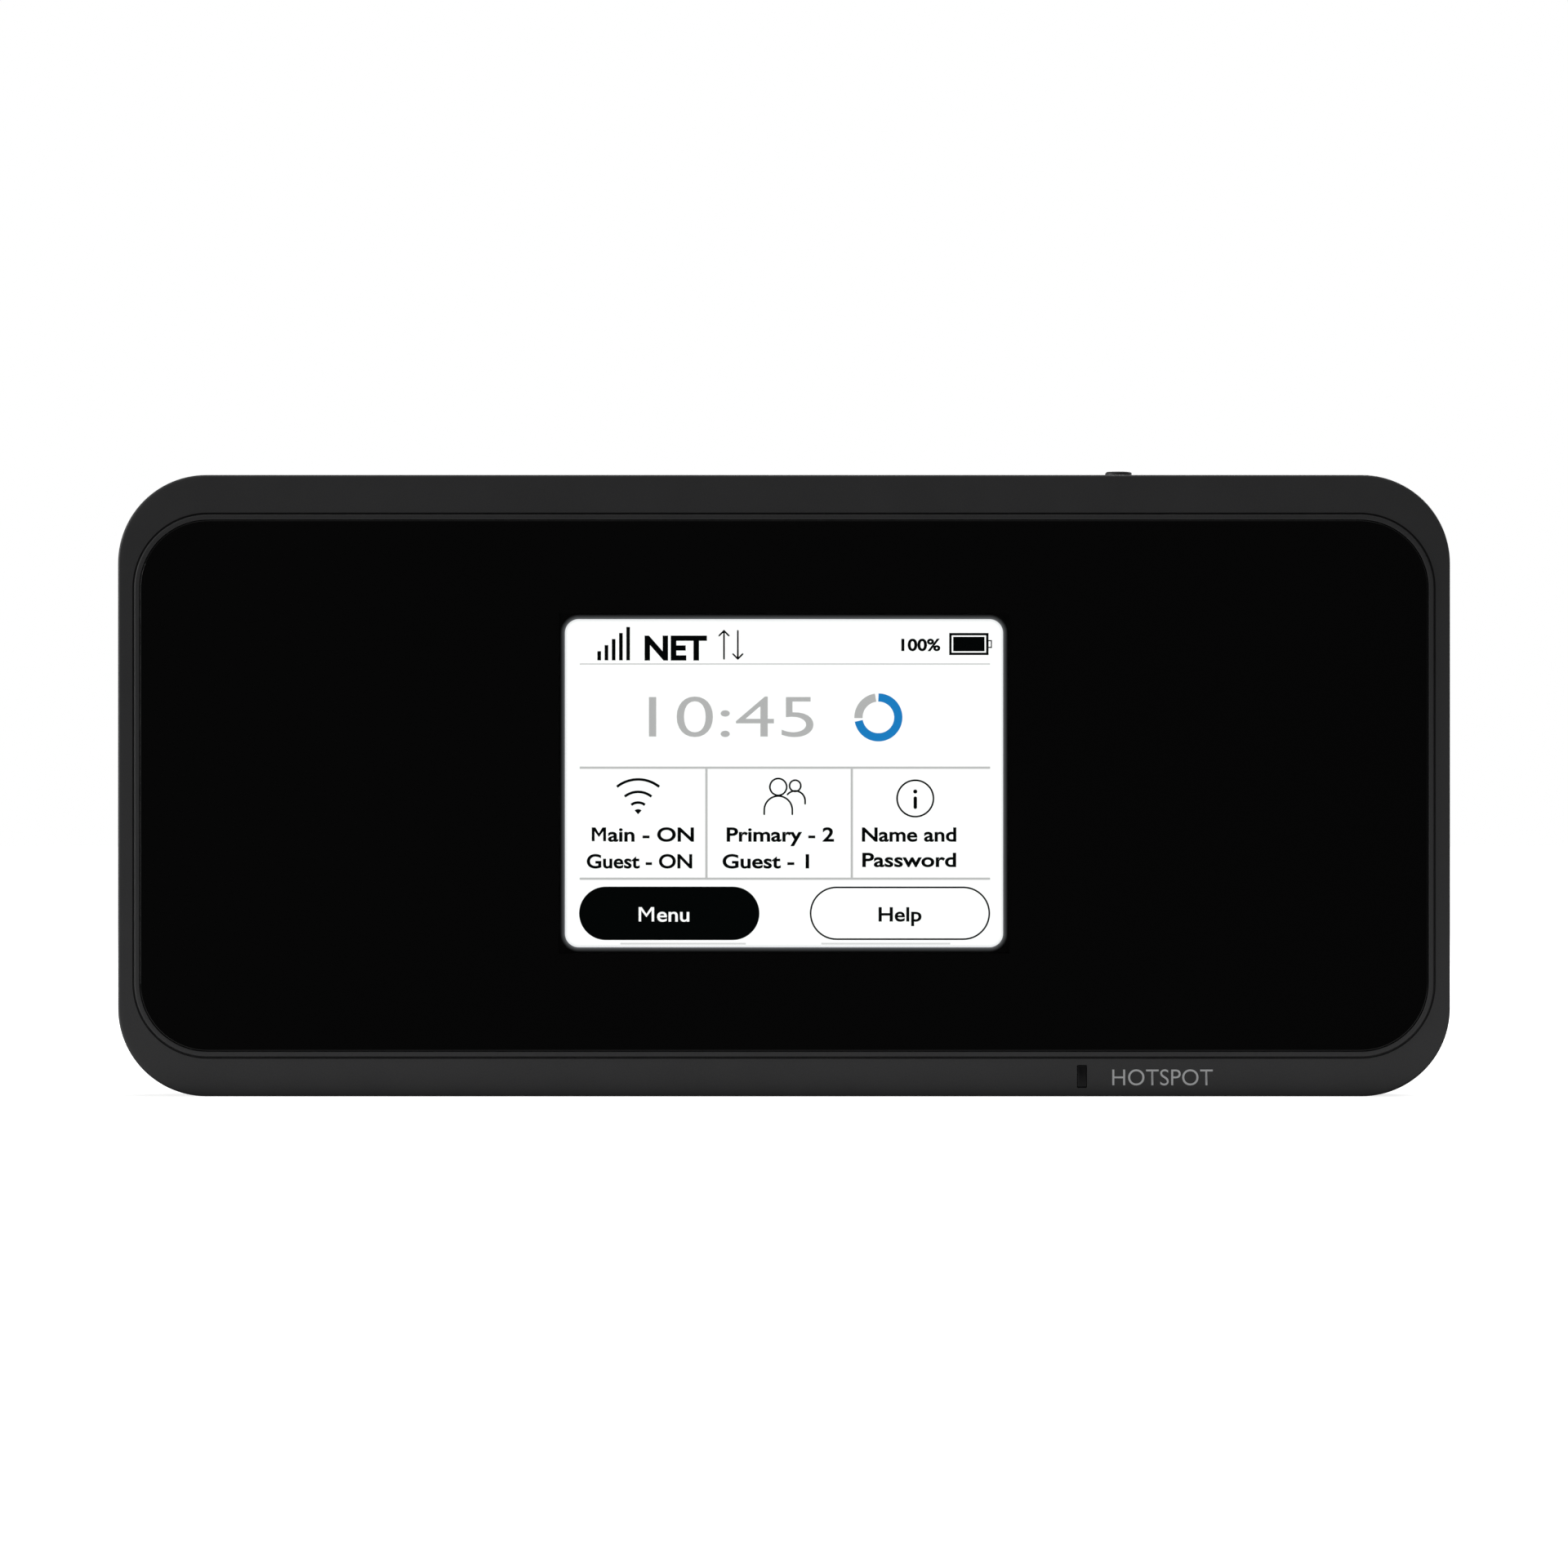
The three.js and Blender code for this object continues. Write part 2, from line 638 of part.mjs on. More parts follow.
// Removable pack, drawn with its front face at y = 0 and its middle on the group's origin.
function batteryPack() {
  const low = -battery.height / 2;
  const cellHeight = battery.height - battery.capHeight;
  const cell = softSlab(
    roundedOutline(battery.width, cellHeight, battery.corner, 5),
    0,
    battery.thickness,
    battery.edge,
    2,
  );
  const cellMesh = piece('battery_cell', cell, 0x232426, 0.45);
  cellMesh.position.z = battery.capHeight / 2;

  const whole = roundedOutline(battery.width, battery.height, battery.corner, 5);
  const aboveCap = block(
    [-battery.width, -past, low + battery.capHeight - 0.05],
    [battery.width, battery.thickness + past, battery.height],
  );
  const slots = contacts.spots.map((x) => block(
    [contacts.x + x - 0.7, 0.6, low - past],
    [contacts.x + x + 0.7, 5, low + 1.2],
  ));
  const cap = carve(slab(whole, 0, battery.thickness), [], [aboveCap, ...slots]);
  const capMesh = piece('battery_cap', cap, 0x161616, 0.5);

  const labelOutline = roundedOutline(batteryLabel.width, batteryLabel.height, batteryLabel.corner);
  const label = slab(labelOutline, battery.thickness, battery.thickness + batteryLabel.thickness);
  const labelMesh = piece('battery_label', label, 0xcfd0d0, 0.55);
  labelMesh.position.z = battery.capHeight / 2;

  const group = new THREE.Group();
  group.add(cellMesh, capMesh, labelMesh);
  group.position.y = depth.trayBack + 0.15;
  return group;
}

// Clip-on cover: a shallow tray with a soft outer edge, guide tabs and a fingernail notch.
function backCover() {
  const blankFront = depth.coverFront - cover.edge - past;
  const outer = softSlab(bodyOutline(0), blankFront, back, cover.edge, 5);
  const hollow = softSlab(bodyOutline(cover.wall), blankFront, depth.coverInside, cover.insideEdge, 4);
  const frontTrim = slab(bodyOutline(-past), blankFront - past, depth.coverFront);
  const shell = carve(outer, [], [hollow, frontTrim]);
  const notch = rod(nailNotch.radius, -nailNotch.depth, nailNotch.depth);
  notch.rotateZ(Math.PI / 2);
  notch.translate(body.width / 2, depth.coverFront - nailNotch.forward, nailNotch.z);
  return piece('back_cover', carve(shell, coverTabs(), [notch]), 0x2a2a2a, 0.66);
}

// Guide tabs that drop just inside the front shell's walls, two on each long side and each end.
function coverTabs() {
  const wallX = body.width / 2 - body.wall;
  const wallZ = body.height / 2 - body.wall;
  const inner = tab.thickness + tab.gap;
  const tabs = [];
  [-1, 1].forEach((side) => {
    [-22, 22].forEach((x) => {
      const low = x - tab.halfWidth;
      const high = x + tab.halfWidth;
      tabs.push(sideBlock(low, high, tab.front, side * (wallZ - inner), side * (wallZ - tab.gap)));
      tabs.push(sideBlock(low, high, tab.root, side * (wallZ - inner), side * (wallZ + tab.overlap)));
    });
    [-17, 17].forEach((z) => {
      const low = z - tab.halfWidth;
      const high = z + tab.halfWidth;
      tabs.push(endBlock(side * (wallX - inner), side * (wallX - tab.gap), tab.front, low, high));
      tabs.push(endBlock(side * (wallX - inner), side * (wallX + tab.overlap), tab.root, low, high));
    });
  });
  return tabs;
}

function sideBlock(lowX, highX, lowY, zA, zB) {
  return block([lowX, lowY, Math.min(zA, zB)], [highX, tab.back, Math.max(zA, zB)]);
}

function endBlock(xA, xB, lowY, lowZ, highZ) {
  return block([Math.min(xA, xB), lowY, lowZ], [Math.max(xA, xB), tab.back, highZ]);
}

const frontAssembly = new THREE.Group();
frontAssembly.add(frontHousing(), coverLens(), lensAdhesive(), displayPanel(), displayBacklight());
frontAssembly.add(displayBracket(), displayFlex(), heatSpreader(), powerKey());

const hotspot = new THREE.Group();
hotspot.add(frontAssembly, boardAssembly(), trayAssembly(), batteryPack(), backCover());
hotspot.position.z = body.height / 2;

export default hotspot;
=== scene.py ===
import itertools
import math

import bmesh
import bpy
from mathutils import Matrix, Vector


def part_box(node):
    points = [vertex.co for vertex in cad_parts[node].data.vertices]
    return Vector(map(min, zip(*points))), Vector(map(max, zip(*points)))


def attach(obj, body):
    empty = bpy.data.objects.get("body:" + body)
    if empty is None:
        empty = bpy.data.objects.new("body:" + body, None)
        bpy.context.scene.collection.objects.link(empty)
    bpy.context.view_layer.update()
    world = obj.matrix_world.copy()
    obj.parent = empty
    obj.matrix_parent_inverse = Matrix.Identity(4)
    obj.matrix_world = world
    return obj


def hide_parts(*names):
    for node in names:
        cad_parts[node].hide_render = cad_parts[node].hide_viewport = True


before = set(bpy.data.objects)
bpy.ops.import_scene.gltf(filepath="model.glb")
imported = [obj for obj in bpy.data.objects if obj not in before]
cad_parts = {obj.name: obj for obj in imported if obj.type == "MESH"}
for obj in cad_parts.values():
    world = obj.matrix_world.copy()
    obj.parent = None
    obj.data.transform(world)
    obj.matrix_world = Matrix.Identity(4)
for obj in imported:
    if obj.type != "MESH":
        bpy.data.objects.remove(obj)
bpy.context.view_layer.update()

# A pocket router with a small touch screen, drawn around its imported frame.
# Metres throughout; x runs along the width, z up, and the screen looks towards -y.
scene = bpy.context.scene
mm = 0.001

shellLow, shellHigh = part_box("front_housing")
coverLow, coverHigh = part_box("back_cover")
lensLow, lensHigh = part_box("cover_lens")
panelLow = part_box("display_panel")[0]
bodySize = {
    "width": shellHigh.x - shellLow.x,
    "height": shellHigh.z - shellLow.z,
    "corner": 10.2 * mm,
    "cornerSteps": 28,
}
lensSize = {
    "width": lensHigh.x - lensLow.x,
    "height": lensHigh.z - lensLow.z,
    "corner": 7.8 * mm,
}
middle = Vector(((shellLow.x + shellHigh.x) / 2, 0, (shellLow.z + shellHigh.z) / 2))
screenShape = {
    "width": 50.6 * mm,
    "height": 37.9 * mm,
    "corner": 1.6 * mm,
    "rise": 0.28 * mm,          # middle of the lit page above the middle of the body
    "spill": 0.5 * mm,
    "edgeFade": 0.4 * mm,
    "printInset": 0.11 * mm,
    "clearBorder": 0.7 * mm,    # clear glass left round the page before the black print
}
screenCentre = Vector((middle.x, 0, middle.z + screenShape["rise"]))


# Small tools

def linearColor(hexText):
    values = [int(hexText[i:i + 2], 16) / 255 for i in (1, 3, 5)]
    linear = [v / 12.92 if v <= 0.04045 else ((v + 0.055) / 1.055) ** 2.4 for v in values]
    return (*linear, 1.0)


def addNode(tree, kind, inputs=None, **settings):
    node = tree.nodes.new(kind)
    for name, value in settings.items():
        setattr(node, name, value)
    for name, value in (inputs or {}).items():
        if isinstance(value, bpy.types.NodeSocket):
            tree.links.new(value, node.inputs[name])
        else:
            node.inputs[name].default_value = value
    return node


def newPiece(name, mesh, material=None):
    piece = bpy.data.objects.new(name, mesh)
    scene.collection.objects.link(piece)
    if material:
        mesh.materials.clear()
        mesh.materials.append(material)
    return piece


def meshFromBmesh(name, work):
    mesh = bpy.data.meshes.new(name)
    work.to_mesh(mesh)
    work.free()
    return mesh


def appliedMesh(piece):
    # what the modifiers make of the piece, as its own plain mesh
    graph = bpy.context.evaluated_depsgraph_get()
    mesh = bpy.data.meshes.new_from_object(piece.evaluated_get(graph), depsgraph=graph)
    piece.modifiers.clear()
    piece.data = mesh
    return mesh


def shadeByAngle(piece, degrees=32):
    # flat faces stay flat beside their rounded edges
    work = bmesh.new()
    work.from_mesh(piece.data)
    for face in work.faces:
        face.smooth = True
    for edge in work.edges:
        angle = edge.calc_face_angle(0.0) if len(edge.link_faces) == 2 else 0.0
        edge.smooth = angle < math.radians(degrees)
    work.to_mesh(piece.data)
    work.free()
    modifier = piece.modifiers.new("Flat faces first", "WEIGHTED_NORMAL")
    modifier.keep_sharp = True
    modifier.weight = 60
    appliedMesh(piece)


def finishPiece(piece, body, *replaced, slot=None):
    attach(piece, body)
    if replaced:
        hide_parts(*replaced)
    return piece


def roundedPoints(width, height, corner, cornerSteps):
    # a rectangle with round corners, anticlockwise, the same number of points whatever its size
    points = []
    for quarter, (sideU, sideV) in enumerate(((1, 1), (-1, 1), (-1, -1), (1, -1))):
        for step in range(cornerSteps + 1):
            angle = (quarter + step / cornerSteps) * math.pi / 2
            u = sideU * (width / 2 - corner) + corner * math.cos(angle)
            v = sideV * (height / 2 - corner) + corner * math.sin(angle)
            points.append((u, v))
    return points


def faceOn(u, v, depth):      # outlines drawn on the front, stacked along y
    return Vector((u, depth, v))


def endOn(u, v, depth):       # outlines drawn on an end, stacked along x
    return Vector((depth, u, v))


def topOn(u, v, depth):       # outlines drawn on the top edge, stacked along z
    return Vector((u, v, depth))


def loftLoops(name, loops, place, centre, cornerSteps, closed=False):
    # skins a run of round-cornered outlines, each (width, height, corner, depth)
    work = bmesh.new()
    rings = []
    for width, height, corner, depth in loops:
        outline = roundedPoints(width, height, max(corner, 1e-6), cornerSteps)
        rings.append([work.verts.new(place(u, v, depth) + centre) for u, v in outline])
    pairs = list(zip(rings, rings[1:]))
    if closed:
        pairs.append((rings[-1], rings[0]))
    for ringA, ringB in pairs:
        for i in range(len(ringA)):
            j = (i + 1) % len(ringA)
            work.faces.new((ringA[i], ringA[j], ringB[j], ringB[i]))
    if not closed:
        work.faces.new(rings[0])
        work.faces.new(rings[-1])
    bmesh.ops.remove_doubles(work, verts=work.verts, dist=1e-7)
    bmesh.ops.recalc_face_normals(work, faces=work.faces)
    return meshFromBmesh(name, work)


def quarterTurn(fromX, fromY, toX, toY, steps, bulge="out"):
    # points of a quarter ellipse between two places, leaving the first one along x or along y
    points = []
    for step in range(steps + 1):
        angle = step / steps * math.pi / 2
        along, across = math.sin(angle), 1 - math.cos(angle)
        if bulge == "out":
            points.append((fromX + (toX - fromX) * along, fromY + (toY - fromY) * across))
        else:
            points.append((fromX + (toX - fromX) * across, fromY + (toY - fromY) * along))
    return points


print("frame loaded, drawing the pieces")


# Materials. Each is named for the real material and how its surface was made.

def startMaterial(name, **sockets):
    material = bpy.data.materials.new(name)
    material.use_nodes = True
    tree = material.node_tree
    tree.nodes.clear()
    shader = addNode(tree, "ShaderNodeBsdfPrincipled", sockets)
    addNode(tree, "ShaderNodeOutputMaterial", {"Surface": shader.outputs[0]})
    material.diffuse_color = sockets.get("Base Color", (0.5, 0.5, 0.5, 1))
    return material, tree, shader


def grainHeight(tree, grainMm, detail=2.0):
    place = addNode(tree, "ShaderNodeTexCoord")
    return addNode(tree, "ShaderNodeTexNoise", {
        "Vector": place.outputs["Object"],
        "Scale": 1 / (grainMm * mm),
        "Detail": detail,
        "Roughness": 0.55,
    })


def addGrain(tree, shader, grainMm, heightMm, detail=2.0):
    grain = grainHeight(tree, grainMm, detail)
    bump = addNode(tree, "ShaderNodeBump", {
        "Height": grain.outputs[0],
        "Distance": heightMm * mm,
        "Strength": 1.0,
    })
    tree.links.new(bump.outputs[0], shader.inputs["Normal"])
    return grain


def spreadRoughness(tree, shader, source, low, high):
    spread = addNode(tree, "ShaderNodeMapRange", {
        "Value": source,
        "From Min": 0.3,
        "From Max": 0.7,
        "To Min": low,
        "To Max": high,
    })
    tree.links.new(spread.outputs[0], shader.inputs["Roughness"])


def twoTones(tree, shader, source, dark, light):
    tones = addNode(tree, "ShaderNodeValToRGB", {"Fac": source})
    for end, position, colour in zip(tones.color_ramp.elements, (0.35, 0.65), (dark, light)):
        end.position = position
        end.color = linearColor(colour)
    tree.links.new(tones.outputs[0], shader.inputs["Base Color"])


def mouldedPolycarbonate(name="moulded polycarbonate, spark eroded", dark="#2C2C2D", light="#303031"):
    # black-grey shell plastic from a finely eroded mould: matt, with a grain just felt by a nail
    material, tree, shader = startMaterial(name, IOR=1.58, Metallic=0.0)
    grain = addGrain(tree, shader, 0.16, 0.006)
    spreadRoughness(tree, shader, grain.outputs[0], 0.52, 0.66)
    patches = grainHeight(tree, 9.0, 3.0)
    twoTones(tree, shader, patches.outputs[0], dark, light)
    return material


def insideBox(tree, centre, width, height):
    # 1 within an upright rectangle seen from the front, 0 outside it
    place = addNode(tree, "ShaderNodeTexCoord")
    away = addNode(tree, "ShaderNodeVectorMath", {
        0: place.outputs["Object"],
        1: tuple(centre),
    }, operation="SUBTRACT")
    size = addNode(tree, "ShaderNodeVectorMath", {0: away.outputs[0]}, operation="ABSOLUTE")
    apart = addNode(tree, "ShaderNodeSeparateXYZ", {0: size.outputs[0]})
    across = addNode(tree, "ShaderNodeMath", {0: apart.outputs["X"], 1: width / 2}, operation="LESS_THAN")
    up = addNode(tree, "ShaderNodeMath", {0: apart.outputs["Z"], 1: height / 2}, operation="LESS_THAN")
    return addNode(tree, "ShaderNodeMath", {0: across.outputs[0], 1: up.outputs[0]}, operation="MULTIPLY")


def polishedCoverGlass(windowCentre, windowWidth, windowHeight):
    # chemically hardened sheet glass, mirror smooth: clear over the screen, printed black elsewhere
    material, tree, shader = startMaterial("hardened glass, polished", IOR=1.5, Roughness=0.0)
    clouds = grainHeight(tree, 30.0, 1.0)
    window = insideBox(tree, windowCentre, windowWidth, windowHeight)
    tones = []
    for dark, light in (("#121212", "#141414"), ("#FBFDFC", "#FEFFFE")):
        mix = addNode(tree, "ShaderNodeMix", {0: clouds.outputs[0]}, data_type="RGBA")
        mix.inputs[6].default_value = linearColor(dark)
        mix.inputs[7].default_value = linearColor(light)
        tones.append(mix.outputs[2])
    both = addNode(tree, "ShaderNodeMix", {
        0: window.outputs[0],
        6: tones[0],
        7: tones[1],
    }, data_type="RGBA")
    tree.links.new(both.outputs[2], shader.inputs["Base Color"])
    tree.links.new(window.outputs[0], shader.inputs["Transmission Weight"])
    return material


def screenPrintedInk():
    # opaque black ink under the glass: swallows light, so the glass above it looks deep
    material, tree, shader = startMaterial("ceramic ink, screen printed black", IOR=1.45)
    clouds = grainHeight(tree, 6.0, 1.0)
    twoTones(tree, shader, clouds.outputs[0], "#040404", "#060606")
    shader.inputs["Roughness"].default_value = 0.7
    shader.inputs["Specular IOR Level"].default_value = 0.1
    return material


def glowingInk(name, hexText, strength):
    # one flat colour of the lit page; the faint grid of its cells keeps it from looking painted
    material, tree, shader = startMaterial(name, Roughness=0.6)
    shader.inputs["Base Color"].default_value = (0, 0, 0, 1)
    shader.inputs["Specular IOR Level"].default_value = 0.0
    place = addNode(tree, "ShaderNodeTexCoord")
    weave = addNode(tree, "ShaderNodeTexChecker", {
        "Vector": place.outputs["Object"],
        "Scale": 1 / (0.158 * mm),
    })
    base = linearColor(hexText)
    weave.inputs["Color1"].default_value = base
    weave.inputs["Color2"].default_value = tuple(c * 0.985 for c in base[:3]) + (1,)
    tree.links.new(weave.outputs["Color"], shader.inputs["Emission Color"])
    shader.inputs["Emission Strength"].default_value = strength
    return material


def litScreenPage():
    # the white page of a backlit panel: even, a shade weaker within half a millimetre of its edge
    material, tree, shader = startMaterial("liquid crystal panel, lit white", Roughness=0.6)
    shader.inputs["Base Color"].default_value = (0, 0, 0, 1)
    shader.inputs["Specular IOR Level"].default_value = 0.0
    light = addNode(tree, "ShaderNodeAttribute", attribute_name="light")
    tones = addNode(tree, "ShaderNodeValToRGB", {"Fac": light.outputs["Fac"]})
    tones.color_ramp.interpolation = "EASE"
    tones.color_ramp.elements[0].color = linearColor("#E4E5E7")
    tones.color_ramp.elements[1].color = (1, 1, 1, 1)
    tree.links.new(tones.outputs[0], shader.inputs["Emission Color"])
    shader.inputs["Emission Strength"].default_value = 1.12
    return material


def spilledScreenLight():
    # light that leaks past the page's edge in the bonding layer and fades within half a millimetre
    material, tree, shader = startMaterial("optical adhesive, edge lit", Roughness=0.6)
    shader.inputs["Base Color"].default_value = linearColor("#040404")
    shader.inputs["Specular IOR Level"].default_value = 0.0
    light = addNode(tree, "ShaderNodeAttribute", attribute_name="light")
    fade = addNode(tree, "ShaderNodeMath", {0: light.outputs["Fac"], 1: 2.6}, operation="POWER")
    tones = addNode(tree, "ShaderNodeMix", {0: fade.outputs[0]}, data_type="RGBA")
    tones.inputs[6].default_value = (0, 0, 0, 1)
    tones.inputs[7].default_value = linearColor("#6C6E70")
    tree.links.new(tones.outputs[2], shader.inputs["Emission Color"])
    shader.inputs["Emission Strength"].default_value = 1.0
    return material


def tintedAcrylic():
    # smoked light guide with a finely blasted face: dark until its lamp is lit, and mirrors little
    material, tree, shader = startMaterial("acrylic, smoked, moulded", IOR=1.49)
    shader.inputs["Specular IOR Level"].default_value = 0.1
    grain = grainHeight(tree, 0.6)
    twoTones(tree, shader, grain.outputs[0], "#212122", "#252526")
    spreadRoughness(tree, shader, grain.outputs[0], 0.03, 0.06)
    return material


def drawnMetal(name, dark, light, low, high):
    # sheet metal with a soft directionless sheen
    material, tree, shader = startMaterial(name, Metallic=1.0)
    grain = addGrain(tree, shader, 0.25, 0.0015, 3.0)
    twoTones(tree, shader, grain.outputs[0], dark, light)
    spreadRoughness(tree, shader, grain.outputs[0], low, high)
    return material


def mouldedPlastic(name, dark, light, low=0.42, high=0.56, grainMm=0.2):
    material, tree, shader = startMaterial(name, IOR=1.53)
    grain = addGrain(tree, shader, grainMm, 0.004)
    twoTones(tree, shader, grain.outputs[0], dark, light)
    spreadRoughness(tree, shader, grain.outputs[0], low, high)
    return material


def solderMask():
    # green lacquer over a copper pour: glossy, with darker lines where the tracks run
    material, tree, shader = startMaterial("solder mask over copper, cured", IOR=1.5)
    place = addNode(tree, "ShaderNodeTexCoord")
    tracks = addNode(tree, "ShaderNodeTexBrick", {
        "Vector": addNode(tree, "ShaderNodeMapping", {
            "Vector": place.outputs["Object"],
            "Rotation": (math.pi / 2, 0, 0),
        }).outputs[0],
        "Scale": 1 / (4.0 * mm),
        "Mortar Size": 0.03,
        "Color1": linearColor("#12402B"),
        "Color2": linearColor("#154A31"),
        "Mortar": linearColor("#0C2C1E"),
    })
    tree.links.new(tracks.outputs["Color"], shader.inputs["Base Color"])
    grain = addGrain(tree, shader, 0.3, 0.002)
    spreadRoughness(tree, shader, grain.outputs[0], 0.28, 0.4)
    return material


clearBorder = 2 * screenShape["clearBorder"]
materials = {
    "shell": mouldedPolycarbonate(),
    "tray": mouldedPolycarbonate("glass-filled polycarbonate, moulded", "#222223", "#29292A"),
    "glass": polishedCoverGlass(
        screenCentre, screenShape["width"] + clearBorder, screenShape["height"] + clearBorder,
    ),
    "ink": screenPrintedInk(),
    "page": litScreenPage(),
    "spill": spilledScreenLight(),
    "print": mouldedPlastic("flexographic ink, dark grey", "#4A4B4E", "#54555A", 0.5, 0.6, 0.1),
    "bezelPrint": mouldedPlastic("pad printing ink, light grey", "#ECEDEF", "#F6F7F8", 0.5, 0.6, 0.1),
    "pageBlack": glowingInk("page colour, black", "#010303", 1.0),
    "pageWhite": glowingInk("page colour, white", "#FFFFFF", 1.12),
    "pageGrey": glowingInk("page colour, rule grey", "#C0C0C0", 1.1),
    "pageFaint": glowingInk("page colour, faint grey", "#DADADA", 1.1),
    "pageMark": glowingInk("page colour, heading grey", "#B4B4B4", 1.1),
    "pageBlue": glowingInk("page colour, blue", "#1C7CC0", 1.1),
    "lightGuide": tintedAcrylic(),
    # can and socket sheet; screws, a little blue; contacts, nearly mirror bright; aerial foil, satin
    "steel": drawnMetal("stainless steel, drawn and tumbled", "#9B9C9E", "#B9BABB", 0.22, 0.36),
    "screw": drawnMetal("carbon steel, zinc plated", "#A9ADB3", "#C9CCD1", 0.24, 0.36),
    "gold": drawnMetal("gold flash over nickel, plated", "#D9A64A", "#EBC068", 0.14, 0.24),
    "copper": drawnMetal("copper foil, etched and lacquered", "#C67F52", "#E3A273", 0.3, 0.42),
    "board": solderMask(),
    # white label stock, very slightly toothed
    "label": mouldedPlastic("polyester label stock, matt", "#C9CAC9", "#D3D4D2", 0.5, 0.62, 0.35),
    "nylon": mouldedPlastic("glass-filled nylon, moulded black", "#101010", "#171717"),
    "ivory": mouldedPlastic("acetal, moulded ivory", "#C9C7BC", "#D6D4CA"),
    "wrap": mouldedPlastic("polyester battery film, shrunk", "#1D1E20", "#242528", 0.26, 0.36, 1.2),
    "amber": mouldedPlastic("polyimide ribbon, laminated", "#8E5414", "#A3641D", 0.3, 0.42),
    "graphite": drawnMetal("graphite-faced aluminium, rolled", "#36383B", "#44464A", 0.38, 0.5),
    "silicone": mouldedPlastic("filled silicone pad, cast", "#7F8A99", "#8D98A6", 0.75, 0.9),
    "tape": mouldedPlastic("foam tape, cut", "#141414", "#1C1C1C", 0.8, 0.92),
    "white": mouldedPlastic("reflector plastic, moulded white", "#DADBDC", "#E6E7E8"),
}
print("materials ready")


# Geometry Nodes: outlines swept round the body, and rows of small things

def treeWithInputs(name, sockets):
    tree = bpy.data.node_groups.new(name, "GeometryNodeTree")
    for label, kind, value in sockets:
        socket = tree.interface.new_socket(label, in_out="INPUT", socket_type=kind)
        if value is not None:
            socket.default_value = value
    tree.interface.new_socket("Geometry", in_out="OUTPUT", socket_type="NodeSocketGeometry")
    return tree, tree.nodes.new("NodeGroupInput").outputs


def endTree(tree, geometry, material):
    placed = addNode(tree, "GeometryNodeRealizeInstances", {"Geometry": geometry})
    painted = addNode(tree, "GeometryNodeSetMaterial", {
        "Geometry": placed.outputs[0],
        "Material": material,
    })
    tree.links.new(painted.outputs[0], tree.nodes.new("NodeGroupOutput").inputs[0])


def runTree(name, tree, values):
    # makes a piece from a tree, with each named input set before it is first evaluated
    piece = newPiece(name, bpy.data.meshes.new(name))
    modifier = piece.modifiers.new(tree.name, "NODES")
    modifier.node_group = tree
    for item in tree.interface.items_tree:
        if item.in_out == "INPUT" and item.name in values:
            modifier[item.identifier] = values[item.name]
    mesh = appliedMesh(piece)
    mesh.name = name
    return piece


def sweptEdgeTree():
    # a cross-section carried round a rectangle with round corners
    tree, given = treeWithInputs("cross-section swept round an outline", [
        ("Width", "NodeSocketFloat", 0.15),
        ("Height", "NodeSocketFloat", 0.07),
        ("Corner", "NodeSocketFloat", 0.01),
        ("Corner Steps", "NodeSocketInt", 24),
        ("Centre", "NodeSocketVector", None),
        ("Section", "NodeSocketObject", None),
        ("Material", "NodeSocketMaterial", None),
    ])
    outline = addNode(tree, "GeometryNodeCurvePrimitiveQuadrilateral", {
        "Width": given["Width"],
        "Height": given["Height"],
    }, mode="RECTANGLE")
    rounded = addNode(tree, "GeometryNodeFilletCurve", {
        "Curve": outline.outputs[0],
        "Radius": given["Corner"],
        "Count": given["Corner Steps"],
    }, mode="POLY")
    section = addNode(tree, "GeometryNodeObjectInfo", {"Object": given["Section"]})
    swept = addNode(tree, "GeometryNodeCurveToMesh", {
        "Curve": rounded.outputs[0],
        "Profile Curve": section.outputs["Geometry"],
    })
    upright = addNode(tree, "GeometryNodeTransform", {
        "Geometry": swept.outputs[0],
        "Translation": given["Centre"],
        "Rotation": (math.pi / 2, 0, 0),
    })
    endTree(tree, upright.outputs[0], given["Material"])
    return tree


def rowTree():
    # copies of one small mesh in a straight row
    tree, given = treeWithInputs("row of small parts", [
        ("Count", "NodeSocketInt", 4),
        ("Start", "NodeSocketVector", None),
        ("Step", "NodeSocketVector", None),
        ("Part", "NodeSocketObject", None),
        ("Material", "NodeSocketMaterial", None),
    ])
    line = addNode(tree, "GeometryNodeMeshLine", {
        "Count": given["Count"],
        "Start Location": given["Start"],
        "Offset": given["Step"],
    })
    part = addNode(tree, "GeometryNodeObjectInfo", {"Object": given["Part"]})
    copies = addNode(tree, "GeometryNodeInstanceOnPoints", {
        "Points": line.outputs[0],
        "Instance": part.outputs["Geometry"],
    })
    endTree(tree, copies.outputs[0], given["Material"])
    return tree


def spotTree():
    # copies of one small mesh on the points of another
    tree, given = treeWithInputs("small parts on marked spots", [
        ("Spots", "NodeSocketObject", None),
        ("Part", "NodeSocketObject", None),
        ("Turn Seed", "NodeSocketInt", 3),
        ("Material", "NodeSocketMaterial", None),
    ])
    spots = addNode(tree, "GeometryNodeObjectInfo", {"Object": given["Spots"]})
    part = addNode(tree, "GeometryNodeObjectInfo", {"Object": given["Part"]})
    turn = addNode(tree, "FunctionNodeRandomValue", {
        2: 0.0,
        3: math.pi / 2,
        "Seed": given["Turn Seed"],
    }, data_type="FLOAT")
    about = addNode(tree, "ShaderNodeCombineXYZ", {"Y": turn.outputs[1]})
    copies = addNode(tree, "GeometryNodeInstanceOnPoints", {
        "Points": spots.outputs["Geometry"],
        "Instance": part.outputs["Geometry"],
        "Rotation": about.outputs[0],
    })
    endTree(tree, copies.outputs[0], given["Material"])
    return tree


